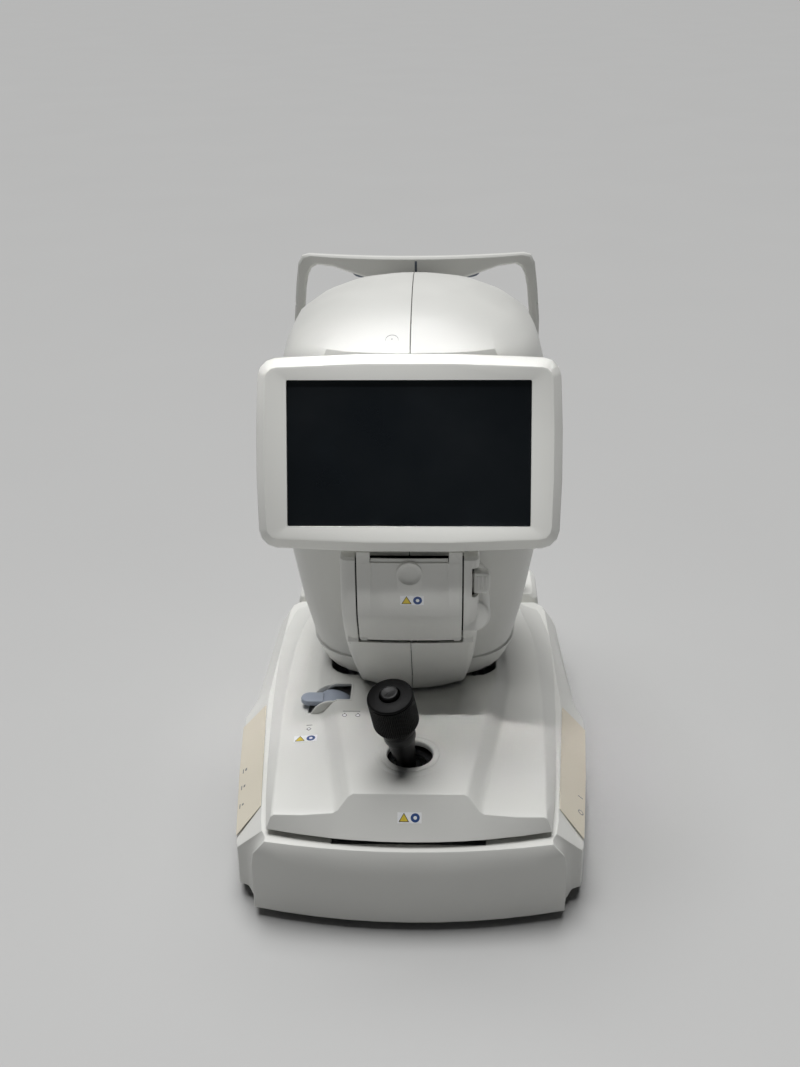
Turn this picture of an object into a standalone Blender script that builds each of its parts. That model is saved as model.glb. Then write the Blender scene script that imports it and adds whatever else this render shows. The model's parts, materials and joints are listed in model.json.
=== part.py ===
"""Table-top autorefractor: a base with an XY stage, a joystick, a rising measuring head with
a tilting screen and a printer, and a chin rest with a forehead frame.

Sizes are in millimetres and become metres where a mesh is made. X runs to the operator's
right, Y towards the patient, Z up. Depths (d) are measured back from the front of the base,
because nearly everything is placed that way; the origin is under the middle of the object.
"""

import math

import bmesh
import bpy
from mathutils import Matrix, Vector

MM = 0.001

# Overall size and the driving heights.
TOTAL_DEPTH = 520.0
BASE_BOTTOM = 8.0
WALL_TOP = 50.0
SHOULDER_TOP = 63.2
DECK_TOP = 72.0
DECK_THICK = 3.0
STAGE_BOTTOM = 77.0
CHASSIS_TOP = 80.0
PLATEAU_TOP = 106.0
HEAD_BOTTOM = 109.0
GAP = 0.3

# The base's depth stations.
BASE_REAR = 434.0
APRON_SAG = 16.0

# How far the power switch is tipped at rest.
ROCKER_TIP = math.radians(6.0)

# The sliding stage.
STAGE_FRONT = 13.0
STAGE_TOP_FRONT = 40.0
STAGE_REAR = 405.0
RAIL_R = 5.0
BORE_R = 5.4
Y_RAIL_X = 80.0
Y_RAIL_Z = 46.0
X_RAIL_DEPTHS = (186.0, 299.0)
X_RAIL_Z = 62.0

# The joystick: its pivot, how far it leans at rest, and heights along its own axis.
JOY_D = 89.0
JOY_Z = 84.0
LEAN_LEFT = math.radians(8.6)
LEAN_NEAR = math.radians(15.0)
BALL_R = 6.6
HOLE_R = 19.0
RING_R = 18.7
RING_LOW = 61.0
RING_TOP = 101.0
BUTTON_R = 7.0
BUTTON_TOP = 105.0

# The lock lever's drum.
LOCK_X = -71.0
LOCK_D = 184.0
LOCK_Z = 85.5
LOCK_R = 17.5
LOCK_HALF = 11.0

# The screen: its centre, its lean and its size.
SCREEN_D = 132.0
SCREEN_Z = 356.0
SCREEN_LEAN = math.radians(20.0)
SCREEN_W = 189.0
SCREEN_H = 113.0
BEZEL_HALF_W = 116.6
BEZEL_HALF_H = 73.0
TILT_UP = 62.0
TILT_BACK = 30.0

# The head's lift.
LIFT_D = 255.0
GUIDE_X = 60.0
OPTIC_Z = 376.0

# The printer.
DOOR_HALF = 42.5
DOOR_LOW = 187.5
DOOR_HIGH = 276.5
DOOR_THICK = 3.4
DOOR_PIN_D = 141.5
DOOR_PIN_Z = 190.2
EAR_Z = 217.0
ROLL_D = 172.0
ROLL_Z = 216.0
ROLL_R = 24.0

# The face frame and the chin rest.
FRAME_D = 446.0
FRAME_DEEP = 16.0
FRAME_TOP = 438.0
CHIN_D = 492.0
CHIN_TOP = 277.0
KNOB_Z = 112.0


def clear_scene():
    for obj in list(bpy.data.objects):
        bpy.data.objects.remove(obj, do_unlink=True)


def at(x, d, z):
    """A point in metres from millimetres, with d measured back from the base's front."""
    return Vector((x, d - TOTAL_DEPTH / 2, z)) * MM


# ---------------------------------------------------------------- materials


def material(name, colour, roughness=0.45, metallic=0.0):
    made = bpy.data.materials.get(name) or bpy.data.materials.new(name)
    made.use_nodes = True
    shader = made.node_tree.nodes["Principled BSDF"]
    shader.inputs["Base Color"].default_value = (*colour, 1.0)
    shader.inputs["Roughness"].default_value = roughness
    shader.inputs["Metallic"].default_value = metallic
    return made


def make_materials():
    return {
        "shell": material("shell_white", (0.78, 0.78, 0.75), 0.42),
        "ivory": material("ivory_strip", (0.76, 0.71, 0.60), 0.5),
        "black": material("black_plastic", (0.02, 0.02, 0.022), 0.45),
        "ring": material("black_knurl", (0.012, 0.012, 0.013), 0.55),
        "lever": material("blue_grey_plastic", (0.27, 0.30, 0.37), 0.45),
        "glass": material("screen_glass", (0.008, 0.01, 0.012), 0.12),
        "steel": material("ground_steel", (0.62, 0.62, 0.63), 0.25, 1.0),
        "alloy": material("cast_alloy", (0.55, 0.56, 0.57), 0.45, 1.0),
        "board": material("circuit_board", (0.03, 0.16, 0.08), 0.5),
        "paper": material("thermal_paper", (0.86, 0.86, 0.84), 0.8),
        "rubber": material("foot_rubber", (0.03, 0.03, 0.03), 0.8),
        "pad": material("silicone_pad", (0.30, 0.33, 0.40), 0.6),
        "lens": material("coated_lens", (0.05, 0.06, 0.10), 0.05),
        "dark": material("dark_steel", (0.10, 0.10, 0.11), 0.4, 0.8),
    }


# ---------------------------------------------------------------- mesh helpers


def is_bent(face):
    """Whether a face's corners leave its plane, so that a Boolean would need it split."""
    face.normal_update()
    start = face.verts[0].co
    return any(abs((v.co - start).dot(face.normal)) > 1e-7 for v in face.verts)


def finish(name, bm, mat):
    """Makes an object of a bmesh, with its faces pointing out and its round sides smooth."""
    bmesh.ops.triangulate(bm, faces=[f for f in bm.faces if is_bent(f)])
    bmesh.ops.recalc_face_normals(bm, faces=bm.faces)
    mesh = bpy.data.meshes.new(name)
    bm.to_mesh(mesh)
    bm.free()
    mesh.shade_smooth()
    mesh.set_sharp_from_angle(angle=math.radians(35))
    mesh.materials.append(mat)
    obj = bpy.data.objects.new(name, mesh)
    bpy.context.scene.collection.objects.link(obj)
    return obj


def loft(name, rings, mat):
    """A closed solid through rings of points, each ring with as many points as the next."""
    bm = bmesh.new()
    loops = [[bm.verts.new(p) for p in ring] for ring in rings]
    count = len(loops[0])
    for low, high in zip(loops, loops[1:]):
        for i in range(count):
            j = (i + 1) % count
            bm.faces.new((low[i], low[j], high[j], high[i]))
    bm.faces.new(list(reversed(loops[0])))
    bm.faces.new(loops[-1])
    return finish(name, bm, mat)


def slab(name, upper, lower, mat):
    """A closed solid between two grids of points, each a list of rows, with walls round it."""
    bm = bmesh.new()
    tops = [[bm.verts.new(p) for p in row] for row in upper]
    lows = [[bm.verts.new(p) for p in row] for row in lower]
    rows, columns = len(tops), len(tops[0])
    for r in range(rows - 1):
        for c in range(columns - 1):
            bm.faces.new((tops[r][c], tops[r][c + 1], tops[r + 1][c + 1], tops[r + 1][c]))
            bm.faces.new((lows[r + 1][c], lows[r + 1][c + 1], lows[r][c + 1], lows[r][c]))
    edge = [(0, c) for c in range(columns)] + [(r, columns - 1) for r in range(1, rows)]
    edge += [(rows - 1, c) for c in range(columns - 2, -1, -1)]
    edge += [(r, 0) for r in range(rows - 2, 0, -1)]
    for (ra, ca), (rb, cb) in zip(edge, edge[1:] + edge[:1]):
        bm.faces.new((lows[ra][ca], lows[rb][cb], tops[rb][cb], tops[ra][ca]))
    return finish(name, bm, mat)


def prism(name, outline, z_low, z_high, mat):
    """An upright prism on an outline of (x, d) points."""
    return loft(name, [[at(x, d, z) for x, d in outline] for z in (z_low, z_high)], mat)


def box(name, xs, ds, zs, mat, bevel=0.0):
    """A box between two x, two depths and two heights, with its edges rounded by bevel."""
    bm = bmesh.new()
    bmesh.ops.create_cube(bm, size=1.0)
    low, high = at(xs[0], ds[0], zs[0]), at(xs[1], ds[1], zs[1])
    middle, size = (low + high) / 2, high - low
    for vert in bm.verts:
        vert.co = middle + Vector(a * b for a, b in zip(vert.co, size))
    if bevel:
        bmesh.ops.bevel(bm, geom=bm.edges[:], offset=bevel * MM, segments=2, affect="EDGES")
    return finish(name, bm, mat)


def turned(name, profile, origin, axis, mat, steps=24):
    """A solid of revolution. profile lists (radius, height along the axis) round a closed
    section; a point on the axis has radius 0."""
    axis = Vector(axis).normalized()
    turn = Vector((0, 0, 1)).rotation_difference(axis).to_matrix()
    bm = bmesh.new()
    rings = []
    for radius, height in profile:
        spots = 1 if radius == 0 else steps
        ring = []
        for i in range(spots):
            a = 2 * math.pi * i / steps
            local = Vector((radius * math.cos(a), radius * math.sin(a), height)) * MM
            ring.append(bm.verts.new(origin + turn @ local))
        rings.append(ring)
    for low, high in zip(rings, rings[1:] + rings[:1]):
        if len(low) == 1 and len(high) == 1:
            continue
        for i in range(steps):
            j = (i + 1) % steps
            corners = [low[i % len(low)], low[j % len(low)], high[j % len(high)], high[i % len(high)]]
            bm.faces.new(list(dict.fromkeys(corners)))
    return finish(name, bm, mat)


def rod(name, start, end, radius, mat, steps=16):
    """A plain round bar from one point to another."""
    length = (end - start).length / MM
    profile = [(0, 0), (radius, 0), (radius, length), (0, length)]
    return turned(name, profile, start, end - start, mat, steps)


def combine(target, other, operation):
    """Applies one Boolean to target and removes the other object."""
    step = target.modifiers.new(operation.lower(), "BOOLEAN")
    step.operation = operation
    step.solver = "EXACT"
    step.object = other
    graph = bpy.context.evaluated_depsgraph_get()
    mesh = bpy.data.meshes.new_from_object(target.evaluated_get(graph))
    target.modifiers.clear()
    old = target.data
    target.data = mesh
    mesh.name = target.name
    bpy.data.meshes.remove(old)
    bpy.data.objects.remove(other, do_unlink=True)
    return target


def cut(target, *cutters):
    for cutter in cutters:
        combine(target, cutter, "DIFFERENCE")
    return target


def join(target, *others):
    for other in others:
        combine(target, other, "UNION")
    return target


def body(name, pivot, members, parent=None):
    """An empty on a joint's axis that carries the objects which move with it."""
    empty = bpy.data.objects.new(name, None)
    empty.empty_display_size = 0.02
    empty.location = pivot
    bpy.context.scene.collection.objects.link(empty)
    bpy.context.view_layer.update()
    if parent:
        empty.parent = parent
        empty.matrix_parent_inverse = parent.matrix_world.inverted()
    bpy.context.view_layer.update()
    for obj in members:
        obj.parent = empty
        obj.matrix_parent_inverse = empty.matrix_world.inverted()
    return empty


def mirrored(half):
    """A closed outline from its right half, listed from the front to the rear."""
    left = [(-x, d) for x, d in reversed(half) if x > 0]
    return half + left


def arc_depth(x, half, sag):
    """How far an arc that bows forward lies behind its middle, at x."""
    radius = (half * half + sag * sag) / (2 * sag)
    return radius - math.sqrt(radius * radius - x * x)


def blend(t, low, high):
    return low + (high - low) * t


def smooth(t):
    t = min(1.0, max(0.0, t))
    return t * t * (3 - 2 * t)


def through(table, key):
    """A smooth curve through (key, value) pairs, read at key: each span eases by its slopes."""
    if key <= table[0][0]:
        return table[0][1]
    if key >= table[-1][0]:
        return table[-1][1]
    i = max(k for k in range(len(table) - 1) if table[k][0] <= key)
    span = table[i + 1][0] - table[i][0]

    def slope(k):
        a, b = table[max(k - 1, 0)], table[min(k + 1, len(table) - 1)]
        return (b[1] - a[1]) / (b[0] - a[0])

    t = (key - table[i][0]) / span
    p0, p1 = table[i][1], table[i + 1][1]
    m0, m1 = slope(i) * span, slope(i + 1) * span
    return (
        (2 * t**3 - 3 * t**2 + 1) * p0
        + (t**3 - 2 * t**2 + t) * m0
        + (3 * t**2 - 2 * t**3) * p1
        + (t**3 - t**2) * m1
    )


# ---------------------------------------------------------------- base

WING_WALL = [(139.5, 39), (141.5, 47), (150, 134), (158, 216), (158.5, 226), (155.5, 240), (151.5, 259)]
WING_RIM = [(117.5, 32), (120, 47), (128, 134), (135.5, 212), (136, 222), (136.2, 235), (136, 256)]


def base_half(level):
    """The right half of the base's outline at one of its levels: wall, shoulder or rim."""
    front = {"wall": (0.0, 125.0), "shoulder": (2.5, 123.0), "rim": (8.0, 114.0)}[level]
    set_back, half = front
    share = {"wall": 0.0, "shoulder": 0.6, "rim": 1.0}[level]
    sag = blend(share, APRON_SAG, 11.0)
    points = [(half * k / 5, set_back + arc_depth(half * k / 5, half, sag)) for k in range(6)]
    cove = [(126.0, 24.0), (127.5, 31.0), (132.5, 36.5)]
    cove_rim = [(114.0, 24.0), (115.0, 27.0), (116.0, 29.5)]
    for (xa, da), (xb, db) in zip(cove + WING_WALL, cove_rim + WING_RIM):
        points.append((blend(share, xa, xb), blend(share, da, db)))
    rear = [(146.0, 405.0), (143.5, 420.0), (134.0, BASE_REAR), (0.0, BASE_REAR)]
    rear_rim = [(134.0, 396.0), (131.5, 408.0), (124.0, 416.0), (0.0, 416.0)]
    for (xa, da), (xb, db) in zip(rear, rear_rim):
        points.append((blend(share, xa, xb), blend(share, da, db)))
    return points


def make_base_cover(mats):
    """The white lower housing: an apron, two wings and a deck, hollow and open below."""
    levels = [
        (BASE_BOTTOM, "wall"),
        (WALL_TOP, "wall"),
        (SHOULDER_TOP, "shoulder"),
        (DECK_TOP, "rim"),
    ]
    rings = [[at(x, d, z) for x, d in mirrored(base_half(level))] for z, level in levels]
    cover = loft("base_cover", rings, mats["shell"])
    wall = [(0, 3.5), (60, 7.5), (121, 20), (123, 36), (130, 41.5), (136.5, 44), (138, 52)]
    wall += [(155, 218), (148.5, 262), (142.5, 404), (130, 430), (0, 430.5)]
    rim = [(0, 12), (55, 15), (108, 25), (110, 38), (111.5, 41), (113, 43), (115, 50)]
    rim += [(131, 216), (132.5, 256), (130.5, 395), (119, 411), (0, 411)]
    inside = [
        [at(x, d, BASE_BOTTOM - 2) for x, d in mirrored(wall)],
        [at(x, d, WALL_TOP - 2) for x, d in mirrored(wall)],
        [at(x, d, DECK_TOP - DECK_THICK) for x, d in mirrored(rim)],
    ]
    cut(cover, loft("inside", inside, mats["shell"]))
    cut(cover, box("deck_opening", (-74, 74), (150, 335), (60, 90), mats["shell"]))
    cut(cover, box("lip_slot", (-61, 61), (17.3, 26), (DECK_TOP - 8, 90), mats["shell"]))
    for side in (-1, 1):
        xs = sorted((side * 140, side * 170))
        cut(cover, box("side_window", xs, (158, 222), (20, 46), mats["shell"]))
        start, end = at(side * 127, 41, 4), at(side * 160, 41, 4)
        cut(cover, rod("finger_notch", start, end, 9.5, mats["shell"], 20))
    return cover


def make_label_strips(mats):
    """The ivory strips that lie on the wings' slopes."""
    strips = []
    for side, name in ((-1, "label_strip_left"), (1, "label_strip_right")):
        outer = [(141.0, 50), (150.5, 134), (157.0, 205)]
        inner = [(121.5, 64), (128.6, 134), (136.0, 214)]
        rings = []
        for (xo, do), (xi, di) in zip(outer, inner):
            zo, zi = WALL_TOP + 1.8, DECK_TOP - 0.9
            lift, thick = 0.55, 0.7
            rings.append(
                [
                    at(side * (xo + lift), do, zo + lift),
                    at(side * (xi + lift), di, zi + lift),
                    at(side * (xi + lift + thick), di, zi + lift + thick),
                    at(side * (xo + lift + thick), do, zo + lift + thick),
                ]
            )
        strips.append(loft(name, rings, mats["ivory"]))
    return strips


def make_base_inside(mats):
    """The pan with its rail blocks, the feet, the rails, the power supply and the main board."""
    pan_half = [(0, 5), (60, 9), (118, 22), (119, 60), (134, 64), (150, 218), (143, 262), (138, 404)]
    pan_half += [(122, 440), (122, 500), (108, 514), (0, 514)]
    pan = prism("base_pan", mirrored(pan_half), 4.2, 7.7, mats["alloy"])
    feet = []
    for x, side in ((-102, "left"), (102, "right")):
        for d, end in ((52, "front"), (486, "rear")):
            feet.append(rod(f"foot_{end}_{side}", at(x, d, 0), at(x, d, 3.9), 12, mats["rubber"], 16))
    for d in (122, 364):
        block = box("rail_block", (-94, 94), (d - 5, d + 5), (7, 56), mats["alloy"])
        join(pan, cut(block, box("relief", (-66, 66), (d - 9, d + 9), (26, 70), mats["alloy"])))
    for x in (-Y_RAIL_X, Y_RAIL_X):
        start, end = at(x, 110, Y_RAIL_Z), at(x, 376, Y_RAIL_Z)
        cut(pan, rod("seat", start, end, RAIL_R + GAP, mats["alloy"]))
    rails = [
        rod(f"y_rail_{side}", at(x, 112, Y_RAIL_Z), at(x, 374, Y_RAIL_Z), RAIL_R, mats["steel"])
        for x, side in ((-Y_RAIL_X, "left"), (Y_RAIL_X, "right"))
    ]
    supply = box("power_supply", (-76, 46), (34, 104), (8, 46), mats["alloy"], 1.5)
    board = box("main_board", (-96, 96), (378, 424), (16, 17.6), mats["board"])
    chips = ((-70, 392, 26, 9), (-20, 400, 34, 4), (36, 398, 22, 12), (76, 404, 16, 16))
    for x, d, wide, tall in chips:
        half = wide / 2
        join(board, box("chip", (x - half, x + half), (d - 9, d + 9), (17, 17.6 + tall), mats["board"]))
    for x in (-88, 88):
        join(board, rod("standoff", at(x, 401, 8), at(x, 401, 16.5), 3, mats["board"], 10))
    return [pan, *feet, *rails, supply, board]


def make_side_panels(mats):
    """The connector panel on the left and the switch panel on the right, behind their windows."""
    io_panel = box("connector_panel", (-147, -144.5), (156, 224), (18, 47.5), mats["black"])
    for d, wide, low, high in ((206, 26, 28, 38), (180, 15, 27, 40), (165, 7, 27, 40)):
        ds = (d - wide / 2, d + wide / 2)
        join(io_panel, box("port", (-150.5, -146), ds, (low, high), mats["black"]))
        inner = (ds[0] + 1.4, ds[1] - 1.4)
        cut(io_panel, box("socket", (-152, -147.5), inner, (low + 1.4, high - 1.4), mats["black"]))
    switch_panel = box("switch_panel", (144.5, 147), (156, 224), (18, 47.5), mats["black"])
    join(switch_panel, box("guard", (146, 150), (176, 204), (22.5, 44), mats["black"]))
    cut(switch_panel, box("well", (140, 155), (178, 202), (24.5, 42), mats["black"]))
    half = [(-2, -11.4), (3.6, -11.4), (1.8, 0), (3.6, 11.4), (-2, 11.4)]
    tip_c, tip_s = math.cos(ROCKER_TIP), math.sin(ROCKER_TIP)
    shape = [(148 + x * tip_c - d * tip_s, 190 + x * tip_s + d * tip_c) for x, d in half]
    points = [[at(x, d, z) for x, d in shape] for z in (25, 41.5)]
    rocker = loft("power_switch", points, mats["black"])
    return io_panel, switch_panel, rocker


def rounded_half(half, front, rear, r_front, r_rear, steps=4):
    """The right half of a rectangle with rounded corners, listed from the front to the rear."""
    points = [(0.0, front)]
    for i in range(steps + 1):
        a = math.pi / 2 * i / steps
        x, d = half - r_front + r_front * math.sin(a), front + r_front - r_front * math.cos(a)
        points.append((x, d))
    for i in range(steps + 1):
        a = math.pi / 2 * i / steps
        x, d = half - r_rear + r_rear * math.cos(a), rear - r_rear + r_rear * math.sin(a)
        points.append((x, d))
    points.append((0.0, rear))
    return points


def make_rear_bridge(mats):
    """The housing behind the base that carries the face frame and the chin rest."""
    stations = [(BASE_BOTTOM, 0.0), (60.0, 0.0), (66.0, 1.5), (70.0, 6.0)]
    rings = []
    for z, inset in stations:
        half = rounded_half(130 - inset, 436 + inset / 2, 520 - inset, 6, 30 - inset)
        rings.append([at(x, d, z) for x, d in mirrored(half)])
    bridge = loft("rear_bridge", rings, mats["shell"])
    inner = mirrored(rounded_half(126.5, 439, 516.5, 4, 27))
    cut(bridge, prism("inside", inner, 0, 62, mats["shell"]))
    cut(bridge, box("inlet_window", (-94, -62), (500, 530), (22, 46), mats["shell"]))
    return bridge


def make_power_inlet(mats):
    """The mains inlet in the rear bridge: a flanged socket with three flat pins."""
    inlet = box("power_inlet", (-93.5, -62.5), (498, 519.6), (22.5, 45.5), mats["black"])
    cut(inlet, box("cavity", (-90, -66), (503, 530), (26, 42), mats["black"]))
    for x in (-85, -78, -71):
        join(inlet, box("pin", (x - 1, x + 1), (502, 509), (31, 37), mats["black"]))
    return inlet


# ---------------------------------------------------------------- face frame and chin rest


# The face frame from a post's foot to the beam's middle: outer x and z, then inner x and z.
FRAME_STATIONS = [
    (111.5, 70.3, 101.5, 70.3),
    (118.5, 120, 108.5, 120),
    (121, 250, 111, 250),
    (121, 372, 111.5, 372),
    (118, 405, 108.5, 403),
    (115, 428, 105.5, 417),
    (111, 436, 102, 424),
    (104, FRAME_TOP, 96, 427.5),
    (84, FRAME_TOP, 80, 426.5),
    (62, FRAME_TOP, 60, 420.5),
    (38, FRAME_TOP, 38, 414),
    (18, FRAME_TOP, 18, 410.5),
    (0, FRAME_TOP, 0, 409.5),
]


def beam_bow(x, z):
    """How far the beam stands forward of the posts, so that a forehead fits into it."""
    height = smooth((z - 395.0) / 25.0)
    return -15.0 * height * (1 - min(1.0, abs(x) / 106.0) ** 2)


def frame_section(outer, inner):
    """One chamfered section of the face frame between its outer and inner edge points."""
    height = (outer.y + inner.y) / 2
    start = FRAME_D + beam_bow(outer.x, height)
    thick = blend(smooth((height - 395.0) / 25.0), FRAME_DEEP, 9.0)
    across = (outer - inner).normalized()
    c = 2.4
    corners = [
        (inner + across * c, start),
        (outer - across * c, start),
        (outer, start + c),
        (outer, start + thick - c),
        (outer - across * c, start + thick),
        (inner + across * c, start + thick),
        (inner, start + thick - c),
        (inner, start + c),
    ]
    return [at(p.x, d, p.y) for p, d in corners]


def make_face_frame(mats):
    """The two posts and the beam, as one bar that deepens towards the middle of the beam."""
    right = [(Vector((a, b)), Vector((c, d))) for a, b, c, d in FRAME_STATIONS]
    left = [(Vector((-a, b)), Vector((-c, d))) for a, b, c, d in reversed(FRAME_STATIONS[:-1])]
    frame = loft("face_frame", [frame_section(o, i) for o, i in right + left], mats["shell"])
    slot = box("sight_slot", (-1.1, 1.1), (420, 460), (421.0, 434.0), mats["shell"])
    cut(frame, slot)
    for side in (-1, 1):
        xs = sorted((side * 118, side * 130))
        cut(frame, box("eye_mark", xs, (FRAME_D - 5, FRAME_D + 30), (387.5, 389.0), mats["shell"]))
    return frame


def make_forehead_pad(mats):
    """The soft strip on the patient's side of the beam."""
    rings = []
    for x in [-62 + 124 * k / 10 for k in range(11)]:
        ends = smooth((62.0 - abs(x)) / 10.0)
        start = FRAME_D + 9.9 + beam_bow(x, 430)
        thick = blend(ends, 3.0, 6.5)
        low, high = 413.5 if abs(x) < 40 else 418.5, 434.5
        section = [(start, low), (start + thick, low + 2), (start + thick, high - 2), (start, high)]
        rings.append([at(x, d, z) for d, z in section])
    return loft("forehead_pad", rings, mats["pad"])


def make_chin_rest(mats):
    """The column with its bore, the rack that rises in it, the cup and the knob."""
    column_half = rounded_half(20, CHIN_D - 16, CHIN_D + 16, 6, 6, 3)
    column = prism("chin_column", mirrored(column_half), 70.0 + GAP, 212, mats["shell"])
    cut(column, box("bore", (-11.5, 11.5), (CHIN_D - 8.5, CHIN_D + 8.5), (84, 230), mats["shell"]))
    spindle_hole = rod("hole", at(8, CHIN_D - 2, KNOB_Z), at(30, CHIN_D - 2, KNOB_Z), 4.4, mats["shell"])
    cut(column, spindle_hole)
    rack = box("chin_rack", (-11, 5), (CHIN_D - 4, CHIN_D + 8), (118, 255.7), mats["alloy"])
    join(rack, box("flange", (-17, 17), (CHIN_D - 14, CHIN_D + 14), (252, 258), mats["alloy"]))
    cup = make_chin_cup(mats)
    hub = [(0, 0), (4, 0), (4, 21), (15.5, 21), (17, 22.5), (17, 37), (15, 39), (0, 39)]
    knob = turned("chin_knob", hub, at(12, CHIN_D - 2, KNOB_Z), (1, 0, 0), mats["black"], 24)
    return column, rack, cup, knob


def make_chin_cup(mats):
    """A shallow saddle that a chin rests in, with two paper pins, on a boss over the rack."""
    upper, lower = [], []
    columns, rows = 8, 5
    middle = CHIN_D + 2
    for row in range(rows + 1):
        v = row / rows * 2 - 1
        top, under = [], []
        for column in range(columns + 1):
            u = column / columns * 2 - 1
            x = 40 * u * (1 - 0.10 * v * v)
            back = 25 * v * (1 - 0.18 * u * u)
            dip = 9.0 * (1 - u * u) + 3.0 * (1 - v * v)
            top.append(at(x, middle + back, CHIN_TOP - dip))
            under.append(at(x * 0.93, middle + back * 0.93, CHIN_TOP - 7 - dip * 0.6))
        upper.append(top)
        lower.append(under)
    cup = slab("chin_cup", upper, lower, mats["shell"])
    boss = box("boss", (-16, 16), (CHIN_D - 13, CHIN_D + 13), (258.0 + GAP, 268), mats["shell"], 1.5)
    join(cup, boss)
    pin = [(0, -6), (2.4, -6), (2.4, 9), (4.5, 9.5), (4.5, 12), (3.0, 13.5), (0, 13.5)]
    for x in (-33, 33):
        foot = at(x, CHIN_D - 10, CHIN_TOP - 1)
        join(cup, turned("paper_pin", pin, foot, (0, 0, 1), mats["shell"], 12))
    return cup


# ---------------------------------------------------------------- carriage and stage


def make_carriage(mats):
    """The frame that runs fore and aft on the base's rails and carries the cross rails."""
    frame = box("carriage", (-100, 100), (168, 317), (38, 54), mats["alloy"])
    cut(frame, box("window", (-62, 62), (196, 289), (30, 70), mats["alloy"]))
    for x in (-Y_RAIL_X, Y_RAIL_X):
        cut(frame, rod("bore", at(x, 150, Y_RAIL_Z), at(x, 330, Y_RAIL_Z), BORE_R, mats["alloy"]))
    for side in (-1, 1):
        for d in X_RAIL_DEPTHS:
            xs = sorted((side * 93, side * 100))
            join(frame, box("lug", xs, (d - 9, d + 9), (48, 68.4), mats["alloy"]))
    for d in X_RAIL_DEPTHS:
        seat = rod("seat", at(-110, d, X_RAIL_Z), at(110, d, X_RAIL_Z), RAIL_R + GAP, mats["alloy"])
        cut(frame, seat)
    rails = [
        rod(f"x_rail_{name}", at(-99, d, X_RAIL_Z), at(99, d, X_RAIL_Z), RAIL_R, mats["steel"])
        for d, name in zip(X_RAIL_DEPTHS, ("front", "rear"))
    ]
    return frame, rails


def stage_half_width(d, z):
    """The stage cover's half width at a depth, at its foot or near its top."""
    low = through([(13, 110), (32, 113), (100, 121), (213, 129.5), (306, 133.5), (370, 133), (405, 125)], d)
    high = through([(13, 108), (60, 111), (132, 115), (213, 118.5), (306, 118), (370, 113), (405, 104)], d)
    return blend(smooth((z - STAGE_BOTTOM) / 9.0), low, high)


def ridge_x(d):
    """Where the raised middle of the stage ends, at a depth."""
    return through([(30, 43), (110, 56), (174, 67), (224, 73), (330, 76), (405, 76)], d)


def stage_height(x, d):
    """The top of the stage cover: two low valleys beside a raised middle."""
    outward = min(1.0, max(0.0, (abs(x) - ridge_x(d) - 16) / 40.0))
    valley = through([(30, 90.0), (200, 89.0), (405, 87)], d) + 4.0 * (1 - outward)
    plateau = through([(30, PLATEAU_TOP), (300, PLATEAU_TOP), (405, 96)], d)
    rise = 1 - smooth((abs(x) - ridge_x(d)) / 16.0)
    return blend(rise, valley, plateau)


def stage_front(x, z):
    """The depth of the stage cover's front face at x and a height. The foot bows forward and
    the face leans back as it rises, to a straight edge at the top of the raised middle."""
    foot = STAGE_FRONT + arc_depth(min(abs(x), 113.0), 113.0, 15.0)
    return blend((z - STAGE_BOTTOM) / (PLATEAU_TOP - STAGE_BOTTOM), foot, STAGE_TOP_FRONT)


def stage_columns(depth, half):
    """The places across the stage where its surface bends, from left to right."""
    ridge = ridge_x(depth)
    outer = ridge + 16
    right = [ridge * 0.5, ridge - 3, ridge, ridge + 4, ridge + 8, ridge + 12, outer]
    right += [(outer + half) / 2, half - 2.5, half]
    return [-x for x in reversed(right)] + [0.0] + right


def stage_solid(name, wall, foot, mat):
    """The stage cover's outer form, or with a wall thickness the space inside it."""
    shares = [0, 0.02, 0.12, 0.24, 0.36, 0.48, 0.6, 0.72, 0.84, 0.97, 1.0]
    upper, lower = [], []
    for share in shares:
        top, under = [], []
        depth = blend(share, 36.0, STAGE_REAR)
        high = stage_half_width(depth, 95) - wall
        low = stage_half_width(depth, STAGE_BOTTOM) - wall
        edge = 1.6 if share in (0, 1.0) else 0.0
        for x in stage_columns(depth, high):
            z = stage_height(x, depth) - wall - edge - 1.6 * (abs(x) > high - 1)
            rear = STAGE_REAR - 14 * (abs(x) / high) ** 5
            near = stage_front(x, z + wall) + wall
            top.append(at(x, blend(share, near, rear - 6 - wall), z))
            near = stage_front(x * low / high, STAGE_BOTTOM) + wall
            under.append(at(x * low / high, blend(share, near, rear - wall), foot))
        upper.append(top)
        lower.append(under)
    return slab(name, upper, lower, mat)


def make_stage_cover(mats):
    """The sliding housing: two valleys beside a raised middle, hollow and open below."""
    cover = stage_solid("stage_cover", 0.0, STAGE_BOTTOM, mats["shell"])
    cut(cover, stage_solid("inside", 2.8, STAGE_BOTTOM - 4, mats["shell"]))
    cut(cover, rod("joystick_hole", at(0, JOY_D, 95), at(0, JOY_D, 120), HOLE_R + 2.5, mats["shell"], 32))
    lip = [(HOLE_R, -3.4), (HOLE_R + 5.5, -3.4), (HOLE_R + 5.5, 0.9), (HOLE_R + 4, 1.6)]
    lip += [(HOLE_R + 1, 1.6), (HOLE_R, 0.8)]
    join(cover, turned("hole_lip", lip, at(0, JOY_D, PLATEAU_TOP), (0, 0, 1), mats["shell"], 28))
    cut(cover, box("lever_slot", (-93, -55), (LOCK_D - 12.5, LOCK_D + 12.5), (70, 120), mats["shell"]))
    well = mirrored(rounded_half(76, 212, 306, 20, 20))
    cut(cover, prism("column_well", well, 70, 120, mats["shell"]))
    return cover


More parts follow.
